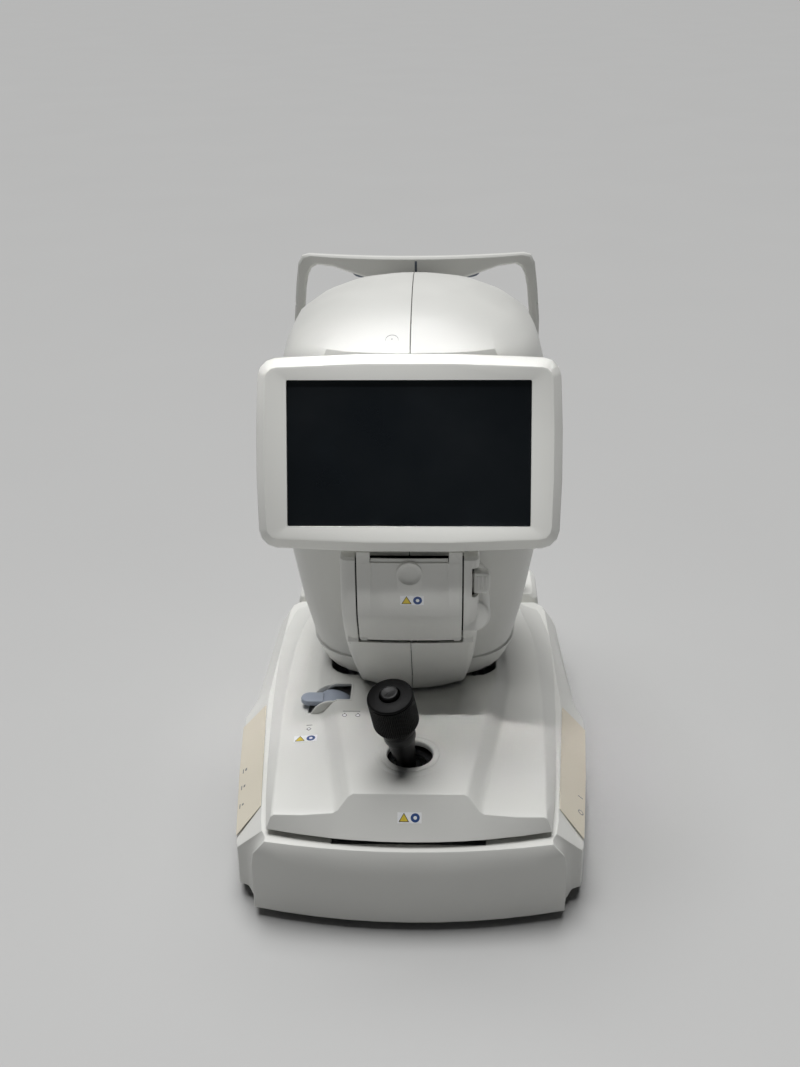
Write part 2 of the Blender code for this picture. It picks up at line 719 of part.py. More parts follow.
def make_stage_parts(mats):
    """The block on the cross rails, the chassis plate and the head's lift."""
    block = box("stage_block", (-45, 45), (176, 309), (55.5, 68.4), mats["alloy"])
    join(block, box("neck", (-28, 28), (178, 307), (66, STAGE_BOTTOM - GAP), mats["alloy"]))
    cut(block, box("relief", (-30, 30), (200, 285), (50, 90), mats["alloy"]))
    for d in X_RAIL_DEPTHS:
        cut(block, rod("bore", at(-60, d, X_RAIL_Z), at(60, d, X_RAIL_Z), BORE_R, mats["alloy"]))
    plate_half = [(0, 44), (98, 56), (101, 80), (104, 213), (104, 300), (98, 350), (88, 378), (0, 378)]
    chassis = prism("stage_chassis", mirrored(plate_half), STAGE_BOTTOM, CHASSIS_TOP, mats["alloy"])
    seat = [(13.6, -5), (19.5, -5), (19.5, 3.2), (13.6, 3.2)]
    join(chassis, turned("gimbal_seat", seat, at(0, JOY_D, JOY_Z), (0, 0, 1), mats["alloy"], 24))
    cut(chassis, rod("joystick_way", at(0, JOY_D, 70), at(0, JOY_D, 90), 13.6, mats["alloy"], 24))
    start, end = at(0, JOY_D - 16.5, JOY_Z), at(0, JOY_D + 16.5, JOY_Z)
    cut(chassis, rod("journal_bore", start, end, 1.6 + GAP, mats["alloy"], 10))
    cut(chassis, box("lever_way", (-92, -48), (LOCK_D - 12, LOCK_D + 12), (70, 90), mats["alloy"]))
    depths, heights = (LIFT_D - 19, LIFT_D + 19), (CHASSIS_TOP + GAP, 108)
    motor = box("lift_motor", (-19, 19), depths, heights, mats["dark"], 2)
    guides = [
        rod(f"guide_rod_{name}", at(x, LIFT_D, CHASSIS_TOP + GAP), at(x, LIFT_D, 236), RAIL_R,
            mats["steel"])
        for x, name in ((-GUIDE_X, "left"), (GUIDE_X, "right"))
    ]
    screw = rod("lift_screw", at(0, LIFT_D, 108.3), at(0, LIFT_D, 215), 3.6, mats["steel"], 12)
    return block, chassis, motor, guides, screw


def make_lock_lever(mats):
    """A drum that shows through its slot, with a thumb tab on its left, and its bracket."""
    centre = at(LOCK_X, LOCK_D - LOCK_HALF, LOCK_Z)
    long = 2 * LOCK_HALF
    section = [(3.8, 0), (LOCK_R, 0), (LOCK_R, long), (3.8, long)]
    drum = turned("lock_lever", section, centre, (0, 1, 0), mats["lever"], 32)
    tab = [(-10, 14.5), (-12, 11.5), (-17, 10.5), (-26, 10), (-28.5, 11.5), (-29, 13.5)]
    tab += [(-26, 15.2), (-19, 16), (-13, 16)]
    rings = []
    for back, inset in ((-7.5, 3.0), (-6.0, 0.0), (7.5, 0.0), (9.0, 3.0)):
        ring = []
        for x, z in tab:
            pull = inset if x < -18 else 0.0
            ring.append(at(LOCK_X + x + pull, LOCK_D + back, LOCK_Z + z))
        rings.append(ring)
    join(drum, loft("tab", rings, mats["lever"]))
    deep = (LOCK_D - 15, LOCK_D + 15)
    cut(drum, box("under", (LOCK_X - 40, LOCK_X + 40), deep, (50, LOCK_Z - 4.8), mats["lever"]))
    cut(drum, box("relief", (LOCK_X + 4, LOCK_X + 40), deep, (50, LOCK_Z - 1.5), mats["lever"]))
    start, end = at(LOCK_X, LOCK_D - 15.5, LOCK_Z), at(LOCK_X, LOCK_D + 15.5, LOCK_Z)
    bracket = rod("lock_bracket", start, end, 3.4, mats["steel"], 12)
    for d in (LOCK_D - 15.5, LOCK_D + 12.5):
        heights = (CHASSIS_TOP + GAP, LOCK_Z + 5)
        cheek = box("cheek", (LOCK_X - 6, LOCK_X + 6), (d, d + 3), heights, mats["steel"])
        join(bracket, cheek)
    return drum, bracket


# ---------------------------------------------------------------- joystick


def stick_axis():
    """The joystick's direction at rest: leaning left and towards the operator."""
    return Vector(
        (
            -math.sin(LEAN_LEFT) * math.cos(LEAN_NEAR),
            -math.sin(LEAN_NEAR),
            math.cos(LEAN_LEFT) * math.cos(LEAN_NEAR),
        )
    )


def make_joystick(mats):
    pivot = at(0, JOY_D, JOY_Z)
    axis = stick_axis()
    cross = Vector((math.cos(LEAN_LEFT), 0, math.sin(LEAN_LEFT)))
    tilt = Matrix.Rotation(-LEAN_LEFT, 3, "Y")

    arc = [(BALL_R * math.sin(a), -BALL_R * math.cos(a)) for a in (0.0, 0.5, 1.0, 1.5, 2.0, 2.35)]
    profile = arc + [(4.8, 7), (5.2, 13), (8.2, 17.5), (8.6, 26), (12.6, 57), (13.4, 57.6), (13.4, 60.4)]
    profile += [(6.0, 60.6), (6.0, 93.5), (0, 93.5)]
    stick = turned("joystick_grip", profile, pivot, axis, mats["black"], 20)
    reach = 11.6 * MM
    join(stick, rod("cross_pin", pivot - cross * reach, pivot + cross * reach, 1.6, mats["black"], 10))

    angles = [math.radians(15 + 35 * k / 4) for k in range(5)]
    cap = [(16.0 * math.sin(a), 16.0 * math.cos(a)) for a in angles]
    cap += [(14.6 * math.sin(a), 14.6 * math.cos(a)) for a in reversed(angles)]
    join(stick, turned("dust_cap", cap, pivot, axis, mats["black"], 20))

    knurl = make_knurled_ring(pivot, axis, mats)
    button_profile = [(0, 96), (5.6, 96), (5.6, 98), (BUTTON_R, 98.6), (BUTTON_R, 104.2)]
    button_profile += [(6.2, BUTTON_TOP), (0, BUTTON_TOP)]
    button = turned("measure_button", button_profile, pivot, axis, mats["black"], 24)

    hoop = [(9.2, -2.6), (12.2, -2.6), (12.2, 2.6), (9.2, 2.6)]
    ring = turned("gimbal_ring", hoop, pivot, tilt @ Vector((0, 0, 1)), mats["steel"], 24)
    cut(ring, rod("cross_bore", pivot - cross * 0.02, pivot + cross * 0.02, 1.6 + GAP, mats["steel"], 10))
    along = Vector((0, 1, 0))
    for sign in (-1, 1):
        start = pivot + along * (sign * 11.0 * MM)
        join(ring, rod("journal", start, pivot + along * (sign * 16.0 * MM), 1.6, mats["steel"], 10))

    collar_profile = [(14, 12.4), (24.5, 12.4), (24.5, 14.4), (14, 14.4)]
    collar = turned("joystick_collar", collar_profile, pivot, (0, 0, 1), mats["black"], 24)
    for sign in (-1, 1):
        foot, head = at(sign * 22.2, JOY_D, CHASSIS_TOP + GAP), at(sign * 22.2, JOY_D, 97)
        join(collar, rod("post", foot, head, 1.8, mats["black"], 8))
    return stick, knurl, button, ring, collar


def make_knurled_ring(pivot, axis, mats):
    """The height ring: a sleeve with fine flutes, a tapered foot and a shallow cone on top."""
    turn = Vector((0, 0, 1)).rotation_difference(axis).to_matrix()
    steps = 48
    stations = [
        (6.4, RING_LOW, 0.0),
        (13.6, RING_LOW, 0.0),
        (RING_R - 0.6, RING_LOW + 9.0, 0.0),
        (RING_R, RING_LOW + 10.0, 0.4),
        (RING_R, RING_TOP - 0.9, 0.4),
        (RING_R - 0.9, RING_TOP - 0.2, 0.0),
        (8.4, RING_TOP + 1.2, 0.0),
        (8.2, RING_TOP - 6.5, 0.0),
        (6.4, RING_TOP - 6.5, 0.0),
    ]
    bm = bmesh.new()
    rings = []
    for radius, height, flute in stations:
        ring = []
        for i in range(steps):
            a = 2 * math.pi * i / steps
            r = radius - flute * (i % 2)
            corner = Vector((r * math.cos(a), r * math.sin(a), height)) * MM
            ring.append(bm.verts.new(pivot + turn @ corner))
        rings.append(ring)
    for low, high in zip(rings, rings[1:] + rings[:1]):
        for i in range(steps):
            j = (i + 1) % steps
            bm.faces.new((low[i], low[j], high[j], high[i]))
    return finish("height_ring", bm, mats["ring"])


# ---------------------------------------------------------------- measuring head

# Height, front depth, rear depth, half width and roundness of the head's level outlines.
HEAD_LEVELS = [
    (HEAD_BOTTOM, 204.0, 384.0, 92.5, 2.5),
    (129.5, 198.5, 391.0, 98.5, 3.0),
    (130.7, 200.2, 390.0, 96.8, 3.0),
    (170.0, 196.5, 398.0, 105.0, 3.5),
    (229.0, 193.5, 404.0, 115.0, 3.8),
    (265.0, 193.0, 405.0, 119.0, 3.7),
    (300.0, 193.0, 406.0, 121.0, 3.5),
    (350.0, 193.0, 406.0, 119.0, 3.4),
    (380.0, 194.0, 405.0, 114.5, 3.3),
    (400.0, 196.0, 404.0, 109.5, 3.1),
    (414.5, 202.0, 401.0, 102.0, 2.9),
    (426.8, 222.0, 393.0, 84.5, 2.7),
    (435.3, 247.0, 380.0, 64.0, 2.5),
    (440.9, 273.0, 361.0, 42.0, 2.3),
    (444.2, 299.0, 337.0, 19.0, 2.1),
]


REAR_TAPER = 0.11


def level_outline(front, rear, half, power, steps, inset=0.0, taper=0.0):
    """A superellipse in plan, narrower to the rear by the taper, as (x, d) points."""
    middle, deep = (front + rear) / 2, (rear - front) / 2 - inset
    points = []
    for i in range(steps):
        a = 2 * math.pi * i / steps
        c, s = math.cos(a), math.sin(a)
        x = math.copysign(abs(s) ** (2 / power), s) * (half - inset)
        d = middle - math.copysign(abs(c) ** (2 / power), c) * deep
        points.append((x * (1 - taper * (d - front) / (rear - front)), d))
    return points


def head_solid(name, inset, steps, mat):
    rings = []
    for z, front, rear, half, power in HEAD_LEVELS:
        level = z - inset * smooth((z - 380.0) / 60.0)
        if z == HEAD_BOTTOM and inset:
            level = z - 5.0
        squeeze = inset * (1 + 0.9 * smooth((z - 395.0) / 45.0))
        if half - squeeze < 8.0:
            break
        taper = REAR_TAPER * (1 - smooth((z - 229.0) / 100.0))
        outline = level_outline(front, rear, half, power, steps, squeeze, taper)
        rings.append([at(x, d, level) for x, d in outline])
    return loft(name, rings, mat)


BLOCK_FRONT = [(110, 185), (130, 175.5), (160, 155), (182, 140)]
BLOCK_FRONT += [(205, 125.5), (222, 118), (262, 118), (276.5, 120)]
BLOCK_HALF = [(110, 47), (125, 50), (150, 53), (190, 55), (276.5, 56)]
BLOCK_SAG = [(110, 12), (150, 6), (186, 2.0), (276.5, 1.5)]
BLOCK_TOP = 272.0


def block_outline(z, inset=0.0):
    """The printer block's outline at a height: a bowed front with rounded corners."""
    front = through(BLOCK_FRONT, z) + inset
    half = through(BLOCK_HALF, z) - inset
    sag = through(BLOCK_SAG, z)
    flat = half - 7
    points = [(flat * k / 3, front + arc_depth(flat * k / 3, flat, sag)) for k in range(4)]
    for i in range(1, 4):
        a = math.pi / 2 * i / 3
        points.append((flat + 7 * math.sin(a), front + sag + 7 - 7 * math.cos(a)))
    points += [(half, 235.0), (0.0, 235.0)]
    return mirrored(points)


def block_solid(name, inset, z_low, z_high, mat):
    heights = [z_low, 130, 145, 160, 182, 194, 205, 222, 250, z_high - 2.5, z_high]
    rings = []
    for z in heights:
        rings.append([at(x, d, z) for x, d in block_outline(z, inset + 1.5 * (z == z_high))])
    return loft(name, rings, mat)


def release_ear(mats):
    """The round swelling beside the printer, under the door's catch."""
    rings = []
    for d, inset in ((124.5, 3.0), (125.4, 1.0), (127.5, 0.0), (225, 0.0)):
        radius = 15.5 - inset
        ring = [(30, EAR_Z + radius)]
        for k in range(11):
            a = math.radians(90 - 18 * k)
            ring.append((50 + radius * math.cos(a), EAR_Z + radius * math.sin(a)))
        ring.append((30, EAR_Z - radius))
        rings.append([at(x, d, z) for x, z in ring])
    return loft("release_ear", rings, mats["shell"])


def make_head_shells(mats):
    """The head's two half shells, which meet on the centre line."""
    outer = head_solid("outer", 0.0, 32, mats["shell"])
    join(outer, block_solid("block", 0.0, 110.0, BLOCK_TOP, mats["shell"]))
    join(outer, release_ear(mats))
    inner = head_solid("inner", 3.0, 24, mats["shell"])
    join(inner, block_solid("bay", 3.0, 104.0, BLOCK_TOP - 3.5, mats["shell"]))
    cut(outer, inner)
    half, low = DOOR_HALF + 0.8, DOOR_LOW - 1.2
    cut(outer, box("bay_mouth", (-half, half), (90, 160), (low, BLOCK_TOP - 5), mats["shell"]))
    cut(outer, box("paper_way", (-half, half), (90, 131), (low, BLOCK_TOP + 9), mats["shell"]))
    start, end = at(-43.3, DOOR_PIN_D, DOOR_PIN_Z), at(43.3, DOOR_PIN_D, DOOR_PIN_Z)
    cut(outer, rod("hinge_way", start, end, 7.4, mats["shell"], 20))
    for side in (-1, 1):
        xs = sorted((side * 44.0, side * 52.5))
        join(outer, box("knuckle", xs, (137, 147), (185.2, 195.2), mats["shell"]))
    start, end = at(-46.5, DOOR_PIN_D, DOOR_PIN_Z), at(46.5, DOOR_PIN_D, DOOR_PIN_Z)
    cut(outer, rod("pin_bores", start, end, 2 + GAP, mats["shell"], 12))
    cut(outer, box("release_way", (49.9, 72), (100, 141.5), (237.2, 262.4), mats["shell"]))
    for x in (-25, 25):
        cut(outer, box("arm_way", (x - 4, x + 4), (180, 220), (389, 413), mats["shell"]))
    cut(outer, rod("window", at(0, 385, OPTIC_Z), at(0, 430, OPTIC_Z), 44.5, mats["shell"], 32))
    slope = Vector((0, -0.45, 0.89)) * MM
    spot = at(-15, 213, 425.2)
    cut(outer, rod("plug_recess", spot - slope * 1.2, spot + slope * 10, 5.5, mats["shell"], 20))
    halves = []
    for side, name in ((-1, "head_shell_left"), (1, "head_shell_right")):
        half = bpy.data.objects.new(name, outer.data.copy())
        bpy.context.scene.collection.objects.link(half)
        xs = sorted((side * -200, side * 0.25))
        cut(half, box("other_side", xs, (0, 520), (50, 500), mats["shell"]))
        halves.append(half)
    bpy.data.objects.remove(outer, do_unlink=True)
    return halves


def make_head_frame(mats):
    """The casting inside the head: a lift block, two uprights and the optical bench."""
    frame = box("head_frame", (-82, 82), (LIFT_D - 16, LIFT_D + 16), (130, 162), mats["alloy"])
    for x in (-GUIDE_X, GUIDE_X):
        cut(frame, rod("bore", at(x, LIFT_D, 120), at(x, LIFT_D, 170), BORE_R, mats["alloy"]))
    cut(frame, rod("nut", at(0, LIFT_D, 120), at(0, LIFT_D, 170), 4.0, mats["alloy"], 12))
    for side in (-1, 1):
        xs = sorted((side * 78, side * 84))
        join(frame, box("upright", xs, (LIFT_D - 16, LIFT_D + 16), (150, 326), mats["alloy"]))
    join(frame, box("bench", (-84, 84), (216, 372), (318, 326), mats["alloy"]))
    return frame


def make_optics(mats):
    """The refractor's optical box, its lens barrel, the lens and the ring that lights the eye."""
    housing = box("optics_housing", (-46, 46), (226, 310), (326.3, 408), mats["alloy"], 2)
    barrel_profile = [(27, 0), (36, 0), (36, 78), (30, 78), (30, 70), (27, 70)]
    barrel = turned("lens_barrel", barrel_profile, at(0, 310.3, OPTIC_Z), (0, 1, 0), mats["dark"], 24)
    saddle = box("saddle", (-20, 20), (322, 360), (326.3, 345), mats["dark"])
    join(barrel, saddle)
    cut(barrel, rod("clear_way", at(0, 312, OPTIC_Z), at(0, 375, OPTIC_Z), 27, mats["dark"], 24))
    lens_profile = [(0, 70.6), (20, 71.0), (29.6, 72.4), (29.6, 76), (20, 79), (10, 80.6), (0, 81)]
    lens = turned("objective_lens", lens_profile, at(0, 310.3, OPTIC_Z), (0, 1, 0), mats["lens"], 24)
    dish = [(19, -6), (31, -6.5), (44, -1), (44, 6.5), (41, 7), (31, 0), (19, -1)]
    mire = turned("mire_ring", dish, at(0, 398.5, OPTIC_Z), (0, 1, 0), mats["black"], 28)
    join(housing, box("camera", (-16, 16), (214, 228), (350, 388), mats["alloy"]))
    return housing, barrel, lens, mire


def make_printer(mats):
    """The printer's frame with its print head and roll spindle, and the paper roll."""
    frame = box("printer_frame", (-50, 50), (198, 201), (186, 262), mats["dark"])
    for side in (-1, 1):
        xs = sorted((side * 44.2, side * 46.2))
        join(frame, box("cheek", xs, (149, 200), (186, 262), mats["dark"]))
    join(frame, box("tray", (-46.2, 46.2), (156, 200), (186, 188.5), mats["dark"]))
    join(frame, box("head_bar", (-46, 46), (149.2, 153), (250, 262), mats["dark"]))
    join(frame, box("print_head", (-33, 33), (142, 150), (247, 265), mats["dark"]))
    start, end = at(-45, ROLL_D, ROLL_Z), at(45, ROLL_D, ROLL_Z)
    join(frame, rod("spindle", start, end, 4, mats["dark"], 12))
    roll_profile = [(7, -28.75), (ROLL_R, -28.75), (ROLL_R, 28.75), (7, 28.75)]
    roll = turned("paper_roll", roll_profile, at(0, ROLL_D, ROLL_Z), (1, 0, 0), mats["paper"], 28)
    return frame, roll


def door_section(z, half, recess=0.0):
    """The door's cross-section at a height: a bowed plate that follows the block's front,
    with its middle set back between two side bands."""
    front = through(BLOCK_FRONT, z)
    sag = through(BLOCK_SAG, z)
    reach = through(BLOCK_HALF, z) - 7
    xs = [-half, -36, -31.4, -30, -20, -10, 0, 10, 20, 30, 31.4, 36, half]
    bow = [front + arc_depth(abs(x), reach, sag) for x in xs]
    near = [at(x, d + recess * (abs(x) < 31), z) for x, d in zip(xs, bow)]
    far = [at(x, d + DOOR_THICK, z) for x, d in zip(reversed(xs), reversed(bow))]
    return near + far


def door_plate(mats):
    """The curved plate, its two ears beside the paper slot, the set-back tear strip between
    them and the round finger dimple under it."""
    half = DOOR_HALF - 0.4
    rings = []
    for z in (DOOR_LOW, 196, 205, 213, 222, 240, 258, 267.5):
        rings.append(door_section(z, half, 1.1 * smooth((z - 214) / 34)))
    plate = loft("printer_door", rings, mats["shell"])
    for side in (-1, 1):
        ear = loft("ear", [door_section(z, half) for z in (264, 270, DOOR_HIGH)], mats["shell"])
        xs = sorted((side * 31.4, side * -60))
        join(plate, cut(ear, box("slot", xs, (90, 160), (260, 280), mats["shell"])))
    strip = loft("strip", [door_section(z, half, 2.3) for z in (264, 267, 270.5)], mats["shell"])
    for side in (-1, 1):
        xs = sorted((side * 30.9, side * 60))
        cut(strip, box("ends", xs, (90, 160), (260, 280), mats["shell"]))
    join(plate, strip)
    rim = [(6, -1.5), (10.9, -1.5), (10.7, 0.2), (10.0, 0.55), (9.2, 0.2), (6, -0.4)]
    join(plate, turned("dimple_rim", rim, at(0, 119.0, 258.0), (0, -1, 0), mats["shell"], 28))
    dish = [(0, -1.5), (5.5, -1.4), (7.8, -0.9), (9.1, 0.1), (9.2, 9), (0, 9)]
    cut(plate, turned("dimple", dish, at(0, 119.0, 258.0), (0, -1, 0), mats["shell"], 28))
    return plate


def make_door(mats):
    """The printer's door with the journals it swings on. The platen roller turns in two
    cheeks behind its top edge."""
    plate = door_plate(mats)
    for side in (-1, 1):
        xs = sorted((side * 36.0, side * 41.0))
        ds = (DOOR_PIN_D - 6, DOOR_PIN_D + 3.4)
        join(plate, box("lug", xs, ds, (DOOR_PIN_Z - 2.4, DOOR_PIN_Z + 4), mats["shell"]))
        start = at(side * 38, DOOR_PIN_D, DOOR_PIN_Z)
        join(plate, rod("journal", start, at(side * 46, DOOR_PIN_D, DOOR_PIN_Z), 2, mats["shell"], 12))
        xs = sorted((side * 33.4, side * 35.6))
        join(plate, box("platen_cheek", xs, (120.5, 140), (253, 262), mats["shell"]))
    join(plate, box("platen_seat", (-35, 35), (120.5, 127.5), (254, 257), mats["shell"]))
    bore = rod("platen_bore", at(-40, 135.2, 258), at(40, 135.2, 258), 1.6 + GAP, mats["shell"], 10)
    cut(plate, bore)
    roller = rod("platen_roller", at(-32.5, 135.2, 258), at(32.5, 135.2, 258), 6, mats["rubber"], 16)
    join(roller, rod("ends", at(-35.3, 135.2, 258), at(35.3, 135.2, 258), 1.6, mats["rubber"], 8))
    return plate, roller


def make_release(mats):
    """The ribbed catch beside the door, with its outer corners well rounded."""
    corners = [(59.9, 253.6, 4.6, 0), (52.7, 256.7, 1.5, 90)]
    corners += [(52.7, 240.9, 1.5, 180), (59.9, 244.0, 4.6, 270)]
    rings = []
    for d, inset in ((121.8, 1.6), (122.6, 0.3), (124.0, 0.0), (130.5, 0.0)):
        ring = []
        for x, z, radius, start in corners:
            for k in range(5):
                a = math.radians(start + 22.5 * k)
                reach = max(0.3, radius - inset)
                ring.append(at(x + reach * math.cos(a), d, z + reach * math.sin(a)))
        rings.append(ring)
    catch = loft("door_release", rings, mats["shell"])
    for x in (54.6, 57.8, 61.0):
        join(catch, box("rib", (x - 0.7, x + 0.7), (121.1, 123), (242.5, 255), mats["shell"]))
    join(catch, box("stem", (47.9, 54), (126, 129.5), (242, 255), mats["shell"]))
    return catch


# ---------------------------------------------------------------- screen


def screen_point(x, up, out):
    """A point by its place on the screen: across, up its slope, and out from its face."""
    lean_s, lean_c = math.sin(SCREEN_LEAN), math.cos(SCREEN_LEAN)
    d = SCREEN_D + up * lean_s - out * lean_c
    return at(x, d, SCREEN_Z + up * lean_c + out * lean_s)


def pillow(half_w, half_h, bow_w, bow_h, radius, out, side_steps=3, corner_steps=3):
    """A rectangle with bowed sides and rounded corners, as points on the screen's slope."""
    points = []
    corners = [(1, 1, 0), (-1, 1, 90), (-1, -1, 180), (1, -1, 270)]
    for sx, sy, start in corners:
        for i in range(corner_steps + 1):
            a = math.radians(start + 90 * i / corner_steps)
            x = sx * (half_w - radius) + radius * math.cos(a)
            up = sy * (half_h - radius) + radius * math.sin(a)
            points.append((x, up))
        wide = start in (0, 180)
        run = half_w - radius if wide else half_h - radius
        for i in range(1, side_steps):
            t = i / side_steps
            if start == 0:
                points.append((run * (1 - 2 * t), half_h))
            elif start == 90:
                points.append((-half_w, run * (1 - 2 * t)))
            elif start == 180:
                points.append((-run * (1 - 2 * t), -half_h))
            else:
                points.append((half_w, -run * (1 - 2 * t)))
    ring = []
    for x, up in points:
        grow_x = 1 + bow_w / half_w * (1 - (up / half_h) ** 2)
        grow_up = 1 + bow_h / half_h * (1 - (x / half_w) ** 2)
        ring.append(screen_point(x * grow_x, up * grow_up, out))
    return ring


def make_screen(mats):
    """The monitor: a front bezel, the touch glass, the panel behind it and the back cover."""
    half_w, half_h = SCREEN_W / 2, SCREEN_H / 2
    bezel_rings = [
        pillow(BEZEL_HALF_W, BEZEL_HALF_H, 2.5, 4.0, 13, -13),
        pillow(BEZEL_HALF_W, BEZEL_HALF_H, 2.5, 4.0, 13, -7),
        pillow(BEZEL_HALF_W - 1.2, BEZEL_HALF_H - 1.2, 2.5, 4.0, 12, -4.8),
        pillow(BEZEL_HALF_W - 6.6, BEZEL_HALF_H - 7.3, 1.8, 3.4, 8, 3.0),
        pillow(BEZEL_HALF_W - 8.2, BEZEL_HALF_H - 8.9, 1.6, 3.2, 7, 3.2),
        pillow(half_w + 0.6, half_h + 0.6, 0.0, 0.0, 1.5, 0.4),
    ]
    bezel = loft("screen_bezel", bezel_rings, mats["shell"])
    pocket = [pillow(half_w + 5, half_h + 5, 0, 0, 4, out) for out in (-30, -3.2)]
    cut(bezel, loft("pocket", pocket, mats["shell"]))
    window = [pillow(half_w, half_h, 0, 0, 1.2, out) for out in (-30, 10)]
    cut(bezel, loft("window", window, mats["shell"]))
    sheet = [pillow(half_w + 4, half_h + 4, 0, 0, 3, out) for out in (-5.0, -3.5)]
    glass = loft("touch_glass", sheet, mats["glass"])
    slab_rings = [pillow(half_w + 3, half_h + 3, 0, 0, 2, out) for out in (-12, -5.4)]
    panel = loft("lcd_panel", slab_rings, mats["dark"])
    back_rings = [
        pillow(BEZEL_HALF_W - 0.6, BEZEL_HALF_H - 0.6, 2.5, 4.0, 12, -13 - GAP),
        pillow(BEZEL_HALF_W - 2, BEZEL_HALF_H - 2, 2.5, 3.5, 12, -16),
        pillow(BEZEL_HALF_W - 18, BEZEL_HALF_H - 18, 2.5, 2.0, 14, -27),
        pillow(BEZEL_HALF_W - 38, BEZEL_HALF_H - 32, 2.0, 1.5, 14, -33),
    ]
    back = loft("screen_back", back_rings, mats["shell"])
    inner_rings = [
        pillow(BEZEL_HALF_W - 3.5, BEZEL_HALF_H - 3.5, 2.5, 3.5, 10, -10),
        pillow(BEZEL_HALF_W - 6, BEZEL_HALF_H - 6, 2.5, 3.0, 10, -16),
        pillow(BEZEL_HALF_W - 22, BEZEL_HALF_H - 21, 2.0, 2.0, 11, -24.5),
        pillow(BEZEL_HALF_W - 41, BEZEL_HALF_H - 35, 2.0, 1.5, 11, -30.5),
    ]
    cut(back, loft("inside", inner_rings, mats["shell"]))
    eye = [(TILT_UP - 15, -23), (TILT_UP + 4, -17), (TILT_UP + 7, -25), (TILT_UP + 6, -33)]
    eye += [(TILT_UP + 1, -37), (TILT_UP - 6, -36)]
    pin = screen_point(0, TILT_UP, -TILT_BACK)
    reach = Vector((50 * MM, 0, 0))
    for side in (-1, 1):
        xs = sorted((side * 30.0, side * 36.0))
        join(back, loft("lug", [[screen_point(x, up, out) for up, out in eye] for x in xs], mats["shell"]))
    cut(back, rod("pin_bore", pin - reach, pin + reach, 3 + GAP, mats["shell"], 12))
    bracket = rod("screen_bracket", pin - reach * 0.74, pin + reach * 0.74, 3, mats["alloy"], 12)
    for x in (-25, 25):
        arm = box("arm", (x - 3, x + 3), (177.5, 225.6), (398, 410), mats["alloy"], 1)
        join(bracket, arm)
    join(bracket, box("plate", (-34, 34), (222, 225.6), (396, 406.5), mats["alloy"]))
    return bezel, glass, panel, back, bracket


def main():
    clear_scene()
    mats = make_materials()

    base_parts = [make_base_cover(mats), *make_label_strips(mats), *make_base_inside(mats)]
    io_panel, switch_panel, rocker = make_side_panels(mats)
    bridge, inlet = make_rear_bridge(mats), make_power_inlet(mats)
    face_frame, pad = make_face_frame(mats), make_forehead_pad(mats)
    column, rack, cup, knob = make_chin_rest(mats)
    base_parts += [io_panel, switch_panel, bridge, inlet, face_frame, pad, column]
    base = body("base", Vector((0, 0, 0)), base_parts)
    body("switch_pivot", at(148, 190, 33.25), [rocker], base)
    body("chin_slide", at(0, CHIN_D, CHIN_TOP), [rack, cup], base)
    body("chin_knob_axis", at(0, CHIN_D - 2, KNOB_Z), [knob], base)

    carriage_frame, cross_rails = make_carriage(mats)
    carriage = body("carriage_slide", at(0, LIFT_D, Y_RAIL_Z), [carriage_frame, *cross_rails], base)

    block, chassis, motor, guides, screw = make_stage_parts(mats)
    stick, knurl, button, ring, collar = make_joystick(mats)
    lever, lever_pin = make_lock_lever(mats)
    stage_parts = [make_stage_cover(mats), block, chassis, motor, *guides, collar, lever_pin]
    stage = body("stage_slide", at(0, LIFT_D, X_RAIL_Z), stage_parts, carriage)
    body("lift_screw_axis", at(0, LIFT_D, 110), [screw], stage)
    body("lock_pivot", at(LOCK_X, LOCK_D, LOCK_Z), [lever], stage)
    pivot = at(0, JOY_D, JOY_Z)
    gimbal = body("gimbal_pivot", pivot, [ring], stage)
    joystick = body("joystick_pivot", pivot, [stick], gimbal)
    body("ring_axis", pivot, [knurl], joystick)
    body("button_axis", pivot, [button], joystick)

    head_parts = [*make_head_shells(mats), make_head_frame(mats), *make_optics(mats)]
    printer_frame, roll = make_printer(mats)
    head_parts.append(printer_frame)
    head = body("head_slide", at(0, LIFT_D, HEAD_BOTTOM), head_parts, stage)
    door, roller = make_door(mats)
    door_body = body("door_pivot", at(0, DOOR_PIN_D, DOOR_PIN_Z), [door], head)
    body("platen_axis", at(0, 135.2, 258), [roller], door_body)
    body("roll_axis", at(0, ROLL_D, ROLL_Z), [roll], head)
    body("release_slide", at(60, 135, 240), [make_release(mats)], head)
    *screen_parts, screen_bracket = make_screen(mats)
    body("screen_pivot", screen_point(0, TILT_UP, -TILT_BACK), screen_parts, head)
    screen_bracket.parent = head
    screen_bracket.matrix_parent_inverse = head.matrix_world.inverted()


main()
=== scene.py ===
"""The looks of a table-top autorefractor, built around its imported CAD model."""

import json
import math

import bmesh
import bpy
from mathutils import Matrix, Vector
from mathutils.bvhtree import BVHTree


